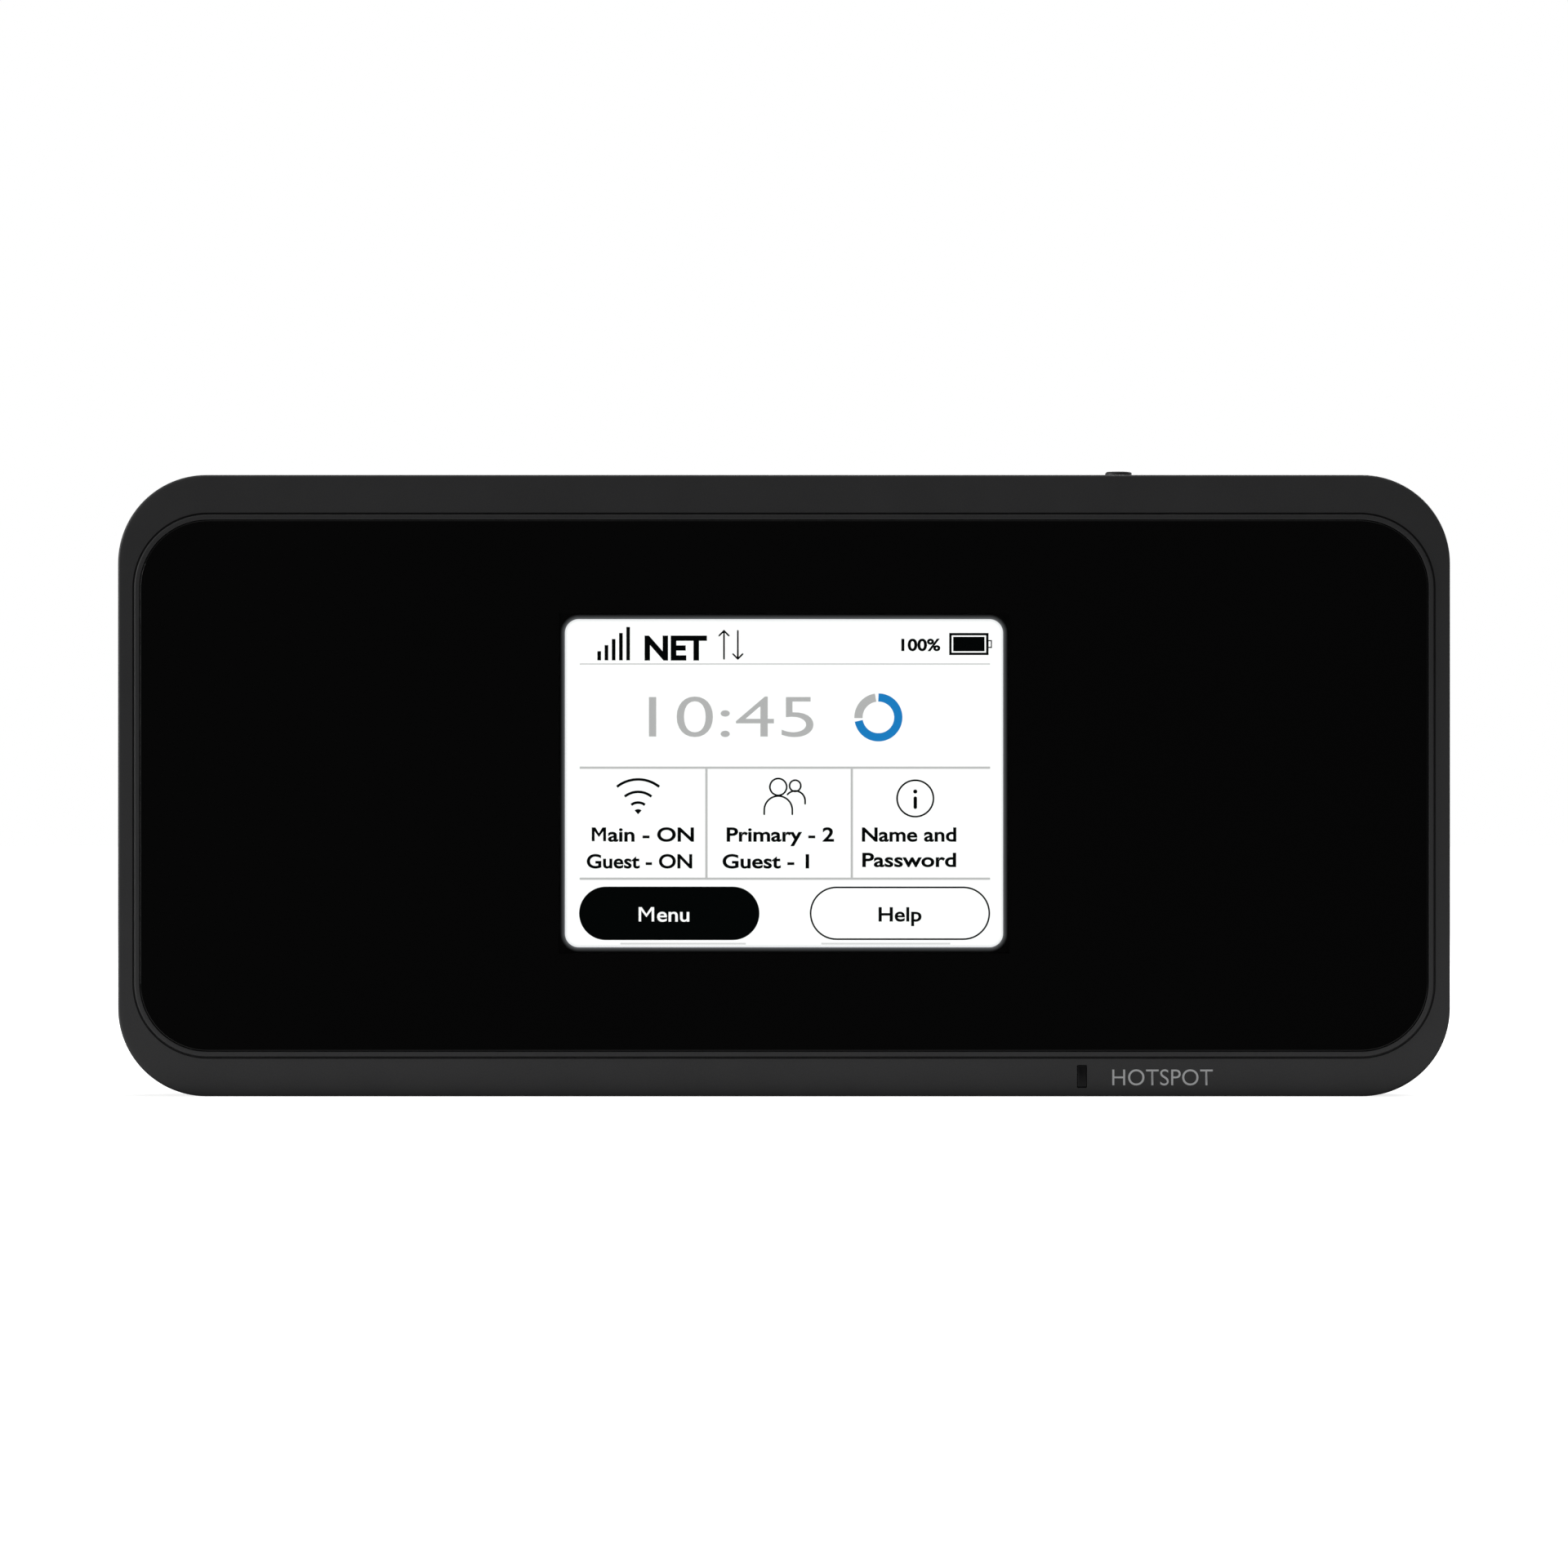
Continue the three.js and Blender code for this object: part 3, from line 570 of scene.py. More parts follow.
def barsTree():
    # upright bars of rising height on one base line, standing out of the page by their thickness
    tree, given = treeWithInputs("rising bars", [
        ("Count", "NodeSocketInt", 5),
        ("Base", "NodeSocketVector", None),
        ("Pitch", "NodeSocketFloat", 0.001),
        ("Bar Width", "NodeSocketFloat", 0.0004),
        ("First Height", "NodeSocketFloat", 0.001),
        ("Height Step", "NodeSocketFloat", 0.0007),
        ("Material", "NodeSocketMaterial", None),
    ])
    step = addNode(tree, "ShaderNodeCombineXYZ", {"X": given["Pitch"]})
    line = addNode(tree, "GeometryNodeMeshLine", {
        "Count": given["Count"],
        "Start Location": given["Base"],
        "Offset": step.outputs[0],
    })
    bar = addNode(tree, "GeometryNodeMeshGrid", {
        "Size X": 1.0,
        "Size Y": 1.0,
        "Vertices X": 2,
        "Vertices Y": 2,
    })
    standing = addNode(tree, "GeometryNodeTransform", {
        "Geometry": bar.outputs[0],
        "Translation": (0, 0, 0.5),
        "Rotation": (math.pi / 2, 0, 0),
    })
    index = addNode(tree, "GeometryNodeInputIndex")
    rise = addNode(tree, "ShaderNodeMath", {
        0: index.outputs[0],
        1: given["Height Step"],
        2: given["First Height"],
    }, operation="MULTIPLY_ADD")
    size = addNode(tree, "ShaderNodeCombineXYZ", {"X": given["Bar Width"], "Y": 1.0, "Z": rise.outputs[0]})
    bars = addNode(tree, "GeometryNodeInstanceOnPoints", {
        "Points": line.outputs[0],
        "Instance": standing.outputs[0],
        "Scale": size.outputs[0],
    })
    endTree(tree, bars.outputs[0], given["Material"])
    return tree


trees = {"edge": sweptEdgeTree(), "row": rowTree(), "spots": spotTree(), "bars": barsTree()}


def sectionCurve(name, points):
    # a flat outline for the trees to read; it isn't linked to the scene, so it never shows
    curve = bpy.data.curves.new(name, "CURVE")
    curve.dimensions = "2D"
    spline = curve.splines.new("POLY")
    spline.points.add(len(points) - 1)
    for point, (x, y) in zip(spline.points, points):
        point.co = (x, y, 0, 1)
    return bpy.data.objects.new(name, curve)


def hiddenPart(name, mesh):
    return bpy.data.objects.new(name, mesh)


def cutWith(piece, cutters):
    for cutter in cutters:
        modifier = piece.modifiers.new("cut", "BOOLEAN")
        modifier.operation = "DIFFERENCE"
        modifier.solver = "EXACT"
        modifier.object = cutter
    scene.view_layers[0].update()
    appliedMesh(piece)


def softenEdges(piece, low, high, widthMm, segments):
    # breaks the sharp edges that lie wholly inside a box
    work = bmesh.new()
    work.from_mesh(piece.data)
    bmesh.ops.remove_doubles(work, verts=work.verts, dist=1e-6)

    def inside(vert):
        return all(low[i] <= vert.co[i] <= high[i] for i in range(3))

    edges = []
    for edge in work.edges:
        if len(edge.link_faces) == 2 and inside(edge.verts[0]) and inside(edge.verts[1]):
            if edge.calc_face_angle(0.0) > math.radians(40):
                edges.append(edge)
    bmesh.ops.bevel(
        work, geom=edges, offset=widthMm * mm, segments=segments, profile=0.5,
        affect="EDGES", clamp_overlap=True,
    )
    work.to_mesh(piece.data)
    work.free()


# Front shell: bezel, raised rim, dark groove, four walls

frontShell = {
    "edgeRadius": 0.3 * mm,     # outer front edge
    "partingBreak": 0.12 * mm,  # small break at the split line
    "wall": 1.6 * mm,
    "rimWidth": 0.6 * mm,
    "rimEdge": 0.13 * mm,
    "lensGap": 0.1 * mm,
    "grooveWidth": 0.19 * mm,
    "grooveDepth": 0.35 * mm,
    "ringFace": lensLow.y + 0.15 * mm,
    "recessFloor": lensLow.y + 1.1 * mm,
    "plateBack": -6.65 * mm,
    "window": (57.0 * mm, 45.0 * mm, 1.6 * mm),
}


def frontShellLoops():
    s = frontShell
    width, height, corner = bodySize["width"], bodySize["height"], bodySize["corner"]
    ring, back = s["ringFace"], shellHigh.y
    loops = []

    def fromBody(inset, depth):
        loops.append((width - 2 * inset, height - 2 * inset, corner - inset, depth))

    def fromLens(grow, depth):
        loops.append((
            lensSize["width"] + 2 * grow, lensSize["height"] + 2 * grow, lensSize["corner"] + grow, depth,
        ))

    edge, part = s["edgeRadius"], s["partingBreak"]
    fromBody(edge + 0.5 * mm, ring)
    for inset, depth in quarterTurn(edge, ring, 0, ring + edge, 5):
        fromBody(inset, depth)
    fromBody(0, back - part)
    fromBody(part * 0.3, back - part * 0.3)
    fromBody(part, back)
    fromBody(s["wall"] - part, back)
    fromBody(s["wall"], back - part)
    fromBody(s["wall"], s["plateBack"] + 0.5 * mm)
    fromBody(s["wall"] + 0.5 * mm, s["plateBack"])
    windowWidth, windowHeight, windowCorner = s["window"]
    loops.append((windowWidth, windowHeight, windowCorner, s["plateBack"]))
    loops.append((windowWidth, windowHeight, windowCorner, s["recessFloor"]))
    gap, rim, soft = s["lensGap"], s["rimWidth"], s["rimEdge"]
    top = lensLow.y
    fromLens(gap, s["recessFloor"])
    fromLens(gap, top + soft)
    for grow, depth in quarterTurn(gap, top + soft, gap + soft, top, 4, "up")[1:]:
        fromLens(grow, depth)
    outer = gap + rim
    for grow, depth in quarterTurn(outer - soft, top, outer, top + soft, 4):
        fromLens(grow, depth)
    floor = ring + s["grooveDepth"]
    lip = 0.05 * mm
    fromLens(outer, floor - lip)
    fromLens(outer + lip, floor)
    fromLens(outer + s["grooveWidth"] - lip, floor)
    fromLens(outer + s["grooveWidth"], floor - lip)
    fromLens(outer + s["grooveWidth"], ring + lip)
    fromLens(outer + s["grooveWidth"] + lip, ring)
    return loops


def roundedBlock(name, width, height, corner, depths, place, centre):
    loops = [(width, height, corner, depth) for depth in depths]
    return hiddenPart(name, loftLoops(name, loops, place, centre, 10))


def buildFrontShell():
    mesh = loftLoops(
        "front_shell", frontShellLoops(), faceOn, middle, bodySize["cornerSteps"], closed=True,
    )
    piece = newPiece("front_shell", mesh, materials["shell"])
    key, port, guide, past = keyShape, portShape, guideShape, 1 * mm
    keyCut = roundedBlock(
        "keyCut", key["width"] + key["gap"], key["length"] + key["gap"], key["width"] / 2 + 0.14 * mm,
        (keyHigh.z - 3 * past, keyHigh.z + past), topOn, key["centre"],
    )
    usbCut = roundedBlock(
        "usbCut", port["openHeight"], port["openLength"], port["openHeight"] / 2 - 0.01 * mm,
        (shellLow.x - past, shellLow.x + 2 * past), endOn, port["centre"],
    )
    lightCut = roundedBlock(
        "lightCut", guide["width"] + guide["gap"], guide["height"] + guide["gap"],
        guide["corner"] + 0.01 * mm, (lensLow.y - past, frontShell["plateBack"] + past),
        faceOn, guide["centre"],
    )
    cutWith(piece, [keyCut, usbCut, lightCut])
    near = 0.01 * mm
    mouth = Vector((shellLow.x, port["centre"].y, port["centre"].z))
    reach = Vector((near, 3 * mm, 6 * mm))
    softenEdges(piece, mouth - reach, mouth + reach, port["mouthBreak"], 3)
    mouth = Vector((key["centre"].x, key["centre"].y, shellHigh.z))
    reach = Vector((3 * mm, 4 * mm, near))
    softenEdges(piece, mouth - reach, mouth + reach, key["mouthBreak"], 2)
    shadeByAngle(piece)
    piece.data.materials.clear()
    piece.data.materials.append(materials["shell"])
    return finishPiece(piece, "housing", "front_housing", slot="shell_plastic")


# Power key

keyLow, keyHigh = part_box("power_button")
keyShape = {
    "width": 3.0 * mm,
    "length": 6.0 * mm,
    "gap": 0.3 * mm,            # how much wider and longer its opening is
    "mouthBreak": 0.12,         # edge break round the opening, in millimetres
    "edge": 0.22 * mm,
    "crown": 0.03 * mm,
    "flangeShare": 0.605,       # of the key's height, up to the top of its flange
    "flangeThickness": 0.6 * mm,
    "stemWidth": 1.8 * mm,
    "stem": (-4.2 * mm, -2.8 * mm),
    "centre": Vector(((keyLow.x + keyHigh.x) / 2, (keyLow.y + keyHigh.y) / 2, 0)),
}


def buildPowerKey():
    k = keyShape
    corner = k["width"] / 2 - 0.02 * mm
    flangeTop = keyLow.z + (keyHigh.z - keyLow.z) * k["flangeShare"]
    shoulder = keyHigh.z - k["crown"]
    loops = []

    def ring(inset, depth):
        loops.append((k["width"] - 2 * inset, k["length"] - 2 * inset, corner - inset, depth))

    ring(0, flangeTop - 0.2 * mm)
    ring(0, shoulder - k["edge"])
    for inset, depth in quarterTurn(0, shoulder - k["edge"], k["edge"], shoulder, 5, "up")[1:]:
        ring(inset, depth)
    ring(0.6 * mm, keyHigh.z - k["crown"] * 0.35)
    ring(1.1 * mm, keyHigh.z)
    cap = loftLoops("power_key", loops, topOn, k["centre"], 12)
    work = bmesh.new()
    work.from_mesh(cap)
    flangeBottom = flangeTop - k["flangeThickness"]
    addBlock(work, (keyLow.x, keyLow.y, flangeBottom), (keyHigh.x, keyHigh.y, flangeTop))
    stemFront, stemBack = k["stem"]
    addBlock(
        work,
        (k["centre"].x - k["stemWidth"] / 2, stemFront, keyLow.z),
        (k["centre"].x + k["stemWidth"] / 2, stemBack, flangeBottom + 0.1 * mm),
    )
    work.to_mesh(cap)
    work.free()
    piece = newPiece("power_key", cap, materials["shell"])
    shadeByAngle(piece, 35)
    return finishPiece(piece, "power_button", "power_button", slot="shell_plastic")


def addBlock(work, low, high, bevelMm=0.0):
    size = [high[i] - low[i] for i in range(3)]
    at = [(high[i] + low[i]) / 2 for i in range(3)]
    matrix = Matrix.Translation(at) @ Matrix.Diagonal((*size, 1))
    made = bmesh.ops.create_cube(work, size=1.0, matrix=matrix)
    if bevelMm:
        edges = {edge for vert in made["verts"] for edge in vert.link_edges}
        bmesh.ops.bevel(
            work, geom=list(edges), offset=bevelMm * mm, segments=2, profile=0.5, affect="EDGES",
        )
    return made["verts"]


# Status light window

guideLow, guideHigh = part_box("status_light_pipe")
guideShape = {
    "width": 1.1 * mm,
    "height": 2.6 * mm,
    "corner": 0.15 * mm,
    "gap": 0.05 * mm,
    "centre": Vector(((guideLow.x + guideHigh.x) / 2, 0, guideLow.z + 1.25 * mm)),
    "edge": ((0.2 * mm, -0.005 * mm), (0.08 * mm, 0.01 * mm), (0.02 * mm, 0.06 * mm)),   # inset, depth
    "stemWidth": 1.0 * mm,
    "stem": (0.75 * mm, 2.3 * mm),
}


def buildLightGuide():
    g = guideShape
    face = frontShell["ringFace"]
    plateBack = frontShell["plateBack"]
    steps = [(inset, face + depth) for inset, depth in g["edge"]] + [(g["edge"][-1][0], plateBack)]
    loops = [
        (g["width"] - 2 * inset, g["height"] - 2 * inset, g["corner"], depth) for inset, depth in steps
    ]
    mesh = loftLoops("status_window", loops, faceOn, g["centre"], 6)
    work = bmesh.new()
    work.from_mesh(mesh)
    x, (stemLow, stemHigh) = g["centre"].x, g["stem"]
    addBlock(
        work,
        (x - g["stemWidth"] / 2, plateBack - 0.01 * mm, guideLow.z + stemLow),
        (x + g["stemWidth"] / 2, guideHigh.y, guideLow.z + stemHigh),
    )
    work.to_mesh(mesh)
    work.free()
    piece = newPiece("status_window", mesh, materials["lightGuide"])
    shadeByAngle(piece, 35)
    return finishPiece(piece, "housing", "status_light_pipe", slot="light_guide")


# Charging socket

portLow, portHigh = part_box("usb_port_sleeve")
portShape = {
    "length": portHigh.z - portLow.z,
    "height": portHigh.y - portLow.y,
    "wall": 0.32 * mm,
    "openLength": portHigh.z - portLow.z + 0.36 * mm,
    "openHeight": portHigh.y - portLow.y + 0.34 * mm,
    "mouthBreak": 0.25,         # edge break round the opening, in millimetres
    "centre": Vector((0, (portLow.y + portHigh.y) / 2, (portLow.z + portHigh.z) / 2)),
    "tongueSetBack": 0.6 * mm,
    "tongueLength": 6.64 * mm,
    "tongueThickness": 0.68 * mm,
    "plugDepth": 1.4 * mm,      # the solid back of the socket
    "pins": 12,
    "pinPitch": 0.5 * mm,
    "pinSize": (3.6 * mm, 0.03 * mm, 0.26 * mm),
}


def buildPort():
    p = portShape
    loops = []

    def ring(inset, depth):
        height, length = p["height"] - 2 * inset, p["length"] - 2 * inset
        loops.append((height, length, height / 2 - 0.005 * mm, depth))

    mouth = portLow.x
    ring(0, portHigh.x)
    ring(0, mouth + 0.08 * mm)
    ring(0.03 * mm, mouth + 0.02 * mm)
    ring(0.12 * mm, mouth)
    ring(p["wall"] - 0.1 * mm, mouth)
    ring(p["wall"], mouth + 0.1 * mm)
    ring(p["wall"], portHigh.x)
    mesh = loftLoops("usb_sleeve", loops, endOn, p["centre"], 10, closed=True)
    sleeve = newPiece("usb_sleeve", mesh, materials["steel"])
    shadeByAngle(sleeve, 35)
    finishPiece(sleeve, "housing", "usb_port_sleeve", slot="steel_sheet")

    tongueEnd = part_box("usb_port_tongue")[1].x
    work = bmesh.new()
    c = p["centre"]
    half = Vector((0, p["tongueThickness"] / 2, p["tongueLength"] / 2))
    tip, root = Vector((mouth + p["tongueSetBack"], c.y, c.z)), Vector((tongueEnd - 0.2 * mm, c.y, c.z))
    addBlock(work, tip - half, root + half, 0.12)
    mesh = meshFromBmesh("usb_tongue", work)
    height, length = p["height"] - 2 * p["wall"], p["length"] - 2 * p["wall"]
    back = loftLoops("usbBack", [
        (height, length, height / 2 - 0.01 * mm, depth) for depth in (tongueEnd - p["plugDepth"], tongueEnd)
    ], endOn, c, 10)
    work = bmesh.new()
    work.from_mesh(mesh)
    work.from_mesh(back)
    work.to_mesh(mesh)
    work.free()
    tongue = newPiece("usb_tongue", mesh, materials["nylon"])
    shadeByAngle(tongue, 35)
    finishPiece(tongue, "housing", "usb_port_tongue", slot="dark_plastic")

    pin = bmesh.new()
    pinLength, pinThickness, pinWidth = p["pinSize"]
    addBlock(pin, (0, -pinThickness, -pinWidth / 2), (pinLength, 0, pinWidth / 2), 0.02)
    pinPart = hiddenPart("usbPin", meshFromBmesh("usbPin", pin))
    for label, side in (("front", -1), ("back", 1)):
        row = runTree(f"usb_contacts_{label}", trees["row"], {
            "Count": p["pins"],
            "Start": (
                mouth + 0.95 * mm,
                c.y + side * (p["tongueThickness"] / 2 + 0.005 * mm) + 0.015 * mm,
                c.z - (p["pins"] - 1) / 2 * p["pinPitch"],
            ),
            "Step": (0, 0, p["pinPitch"]),
            "Part": pinPart,
            "Material": materials["gold"],
        })
        finishPiece(row, "housing", slot="steel_sheet")


# Glass, black print and the lit page

glassShape = {"edge": 0.06 * mm, "flat": 3.0 * mm}


def buildGlass():
    g = glassShape
    front, back = lensLow.y, lensHigh.y
    section = [(-g["flat"], front)]
    section += quarterTurn(-g["edge"], front, 0, front + g["edge"], 5)
    section += quarterTurn(0, back - g["edge"], -g["edge"], back, 3, "up")
    section += [(-g["flat"], back)]
    piece = runTree("glass_plate", trees["edge"], {
        "Width": lensSize["width"],
        "Height": lensSize["height"],
        "Corner": lensSize["corner"],
        "Corner Steps": bodySize["cornerSteps"],
        "Centre": tuple(middle),
        "Section": sectionCurve("glassSection", section),
        "Material": materials["glass"],
    })
    closeEnds(piece)
    shadeByAngle(piece, 35)
    return finishPiece(piece, "housing", "cover_lens", slot="lens_glass")


def closeEnds(piece):
    # closes the open middles of a swept edge with flat faces
    work = bmesh.new()
    work.from_mesh(piece.data)
    bmesh.ops.remove_doubles(work, verts=work.verts, dist=1e-6)
    edges = [edge for edge in work.edges if edge.is_boundary]
    bmesh.ops.holes_fill(work, edges=edges, sides=0)
    bmesh.ops.recalc_face_normals(work, faces=work.faces)
    work.to_mesh(piece.data)
    work.free()


pageDepth = panelLow.y + 0.03 * mm


def buildInk():
    s = screenShape
    grow = s["spill"] * 2
    front, back = lensHigh.y - 0.03 * mm, lensHigh.y - 0.015 * mm
    inset = s["printInset"]
    outer = (lensSize["width"] - 2 * inset, lensSize["height"] - 2 * inset, lensSize["corner"] - inset)
    window = (s["width"] + grow, s["height"] + grow, s["corner"] + s["spill"])
    work = bmesh.new()
    rings = []
    turns = (
        (outer, middle, front), (outer, middle, back),
        (window, screenCentre, back), (window, screenCentre, front),
    )
    for (width, height, corner), centre, depth in turns:
        points = roundedPoints(width, height, corner, 20)
        rings.append([work.verts.new(faceOn(u, v, depth) + centre) for u, v in points])
    for a in range(4):
        ringA, ringB = rings[a], rings[(a + 1) % 4]
        for i in range(len(ringA)):
            j = (i + 1) % len(ringA)
            work.faces.new((ringA[i], ringA[j], ringB[j], ringB[i]))
    bmesh.ops.recalc_face_normals(work, faces=work.faces)
    piece = newPiece("black_print", meshFromBmesh("black_print", work), materials["ink"])
    return finishPiece(piece, "housing", slot="lens_glass")


def fadedSheet(name, loops, lights, centre, depth, material, cap):
    # flat sheet of rings; the attribute "light" says how bright each ring is
    work = bmesh.new()
    layer = work.verts.layers.float.new("light")
    rings = []
    for (width, height, corner), light in zip(loops, lights):
        points = roundedPoints(width, height, corner, 16)
        ring = [work.verts.new(faceOn(u, v, depth) + centre) for u, v in points]
        for vert in ring:
            vert[layer] = light
        rings.append(ring)
    for ringA, ringB in zip(rings, rings[1:]):
        for i in range(len(ringA)):
            j = (i + 1) % len(ringA)
            work.faces.new((ringA[i], ringA[j], ringB[j], ringB[i]))
    if cap:
        work.faces.new(rings[-1])
    bmesh.ops.recalc_face_normals(work, faces=work.faces)
    if work.faces[0].normal.y > 0:
        bmesh.ops.reverse_faces(work, faces=work.faces)
    return newPiece(name, meshFromBmesh(name, work), material)


def pageOutline(grow):
    s = screenShape
    return (s["width"] + 2 * grow, s["height"] + 2 * grow, max(s["corner"] + grow, 0.2 * mm))


def buildPage():
    s = screenShape
    fade = [0.0, 0.35, 0.7, 1.0]
    loops = [pageOutline(-s["edgeFade"] * f) for f in fade]
    page = fadedSheet("screen_page", loops, fade, screenCentre, pageDepth, materials["page"], True)
    finishPiece(page, "housing", "display_panel", slot="display")
    steps = [0.0, 0.15, 0.35, 0.6, 1.0]
    loops = [pageOutline(s["spill"] * 1.4 * f) for f in steps]
    lights = [1 - f for f in steps]
    spill = fadedSheet(
        "screen_edge_light", loops, lights, screenCentre, pageDepth, materials["spill"], False,
    )
    finishPiece(spill, "housing", slot="display")


# What the page shows: plain words and signs, in millimetres from its middle

pageMarks = {
    "bars": {"left": -21.34, "base": 14.19, "pitch": 0.835, "width": 0.42, "first": 1.06, "step": 0.70},
    "rules": [(-23.6, 23.8, 13.77, 0.12), (-23.6, 23.8, 1.79, 0.26), (-23.6, 23.8, -11.03, 0.26)],
    "dividers": [(-8.96, 1.79, -11.03, 0.27), (7.83, 1.79, -11.03, 0.27)],
    "arrows": (15.98, 1.62, 0.55, 0.19),        # level, half length, barb, line
    "battery": (19.08, 14.8, 23.62, 17.35),
    "pillWidth": 20.82,
    "pillHeight": 6.17,
    "darkPill": (-13.25, -15.03),
    "lightPill": (13.39, -15.02),
    "hairline": 0.19,
}
inkGroups = {}


def inkMesh(colour):
    # one growing mesh for each colour on the page
    if colour not in inkGroups:
        inkGroups[colour] = bmesh.new()
    return inkGroups[colour]


def pagePoint(u, v, lift=1.0):
    return Vector((u * mm, pageDepth - 0.006 * mm * lift, v * mm)) + screenCentre


def fillShape(colour, points, lift=1.0):
    work = inkMesh(colour)
    work.faces.new([work.verts.new(pagePoint(u, v, lift)) for u, v in points])


def strokeLine(colour, points, width, closed=False, roundEnds=False, lift=1.0):
    # a line of even width along a run of points
    work = inkMesh(colour)
    count = len(points)
    sides = []
    for i, (u, v) in enumerate(points):
        legs = []
        if closed or i > 0:
            legs.append(Vector((u - points[i - 1][0], v - points[i - 1][1])).normalized())
        if closed or i < count - 1:
            after = points[(i + 1) % count]
            legs.append(Vector((after[0] - u, after[1] - v)).normalized())
        direction = sum(legs, Vector((0, 0))).normalized()
        across = Vector((-direction.y, direction.x)) / max(0.35, legs[0].dot(direction))
        sides.append((
            work.verts.new(pagePoint(u + across.x * width / 2, v + across.y * width / 2, lift)),
            work.verts.new(pagePoint(u - across.x * width / 2, v - across.y * width / 2, lift)),
        ))
    pairs = list(zip(sides, sides[1:])) + ([(sides[-1], sides[0])] if closed else [])
    for (a, b), (c, d) in pairs:
        work.faces.new((a, b, d, c))
    if roundEnds:
        for u, v in (points[0], points[-1]):
            fillShape(colour, arcPoints(u, v, width / 2, 0, 360, 14)[:-1], lift + 0.2)


def arcPoints(u, v, radius, fromDegrees, toDegrees, steps):
    return [
        (
            u + radius * math.cos(math.radians(fromDegrees + (toDegrees - fromDegrees) * i / steps)),
            v + radius * math.sin(math.radians(fromDegrees + (toDegrees - fromDegrees) * i / steps)),
        )
        for i in range(steps + 1)
    ]


def pillPoints(centreU, centreV, width, height):
    return [(centreU + u, centreV + v) for u, v in roundedPoints(width, height, height / 2 - 0.001, 16)]


def writeWords(colour, words, left, right, baseline, capHeight, weight, lift=1.0):
    # built-in lettering, stretched to the width and capital height that it is given
    def measured(text):
        curve = bpy.data.curves.new("words", "FONT")
        curve.body = text
        curve.size = 1.0
        curve.offset = weight
        curve.resolution_u = 6
        holder = bpy.data.objects.new("words", curve)
        scene.collection.objects.link(holder)
        graph = bpy.context.evaluated_depsgraph_get()
        mesh = bpy.data.meshes.new_from_object(holder.evaluated_get(graph), depsgraph=graph)
        bpy.data.objects.remove(holder)
        return mesh

    capital = measured("H")
    capTop = max(v.co.y for v in capital.vertices)
    mesh = measured(words)
    low = min(v.co.x for v in mesh.vertices)
    high = max(v.co.x for v in mesh.vertices)
    stretch, rise = (right - left) / (high - low), capHeight / capTop
    for vert in mesh.vertices:
        vert.co = pagePoint(left + (vert.co.x - low) * stretch, baseline + vert.co.y * rise, lift)
    inkMesh(colour).from_mesh(mesh)


def drawCapitalM(colour, left, right, baseline, capHeight, stroke, lift=1.0):
    half, centre = stroke / 2, (left + right) / 2
    top = baseline + capHeight
    strokeLine(colour, [(left + half, baseline), (left + half, top)], stroke, lift=lift)
    strokeLine(colour, [(right - half, baseline), (right - half, top)], stroke, lift=lift)
    dip = baseline + capHeight * 0.3
    for side, outer in ((-1, left), (1, right)):
        inner = outer - side * stroke * 1.25
        fillShape(colour, [
            (outer, top), (inner, top), (centre, dip + stroke * 1.3), (centre, dip),
        ], lift + 0.1)


def drawStatusRow():
    # a network word, traffic arrows, charge and battery sign along the top
    m = pageMarks
    writeWords("pageBlack", "NET", -16.1, -8.9, 14.3, 2.75, 0.035)
    level, reach, barb, line = m["arrows"]
    for u, way in ((-6.93, 1), (-5.33, -1)):
        tip, tail = level + way * reach, level - way * reach
        head = [(u - barb, tip - way * barb), (u, tip), (u + barb, tip - way * barb)]
        strokeLine("pageBlack", [(u, tail), (u, tip)], line, roundEnds=True)
        strokeLine("pageBlack", head, line, roundEnds=True)
    writeWords("pageBlack", "100%", 13.55, 18.05, 15.32, 1.36, 0.03)

    def batteryBox(insetU, insetV):
        left, bottom, right, top = m["battery"]
        left, bottom, right, top = left + insetU, bottom + insetV, right - insetU, top - insetV
        return [(left, bottom), (right, bottom), (right, top), (left, top)]

    strokeLine("pageBlack", batteryBox(0.14, 0.14), 0.28, closed=True)
    fillShape("pageBlack", batteryBox(0.46, 0.44))
    right = m["battery"][2]
    nose = right + 0.33
    strokeLine("pageBlack", [(right, 15.68), (nose, 15.68), (nose, 16.46), (right, 16.46)], 0.13)


def drawHeading():
    # the time in grey, and a blue ring that shows how much of the data plan is left
    writeWords("pageMark", "10:45", -15.6, 3.4, 5.35, 4.6, -0.006)
    strokeLine("pageBlue", arcPoints(10.9, 7.6, 2.3, 90, -170, 48), 0.95)
    strokeLine("pageMark", arcPoints(10.9, 7.6, 2.3, -178, -262, 20), 0.95)


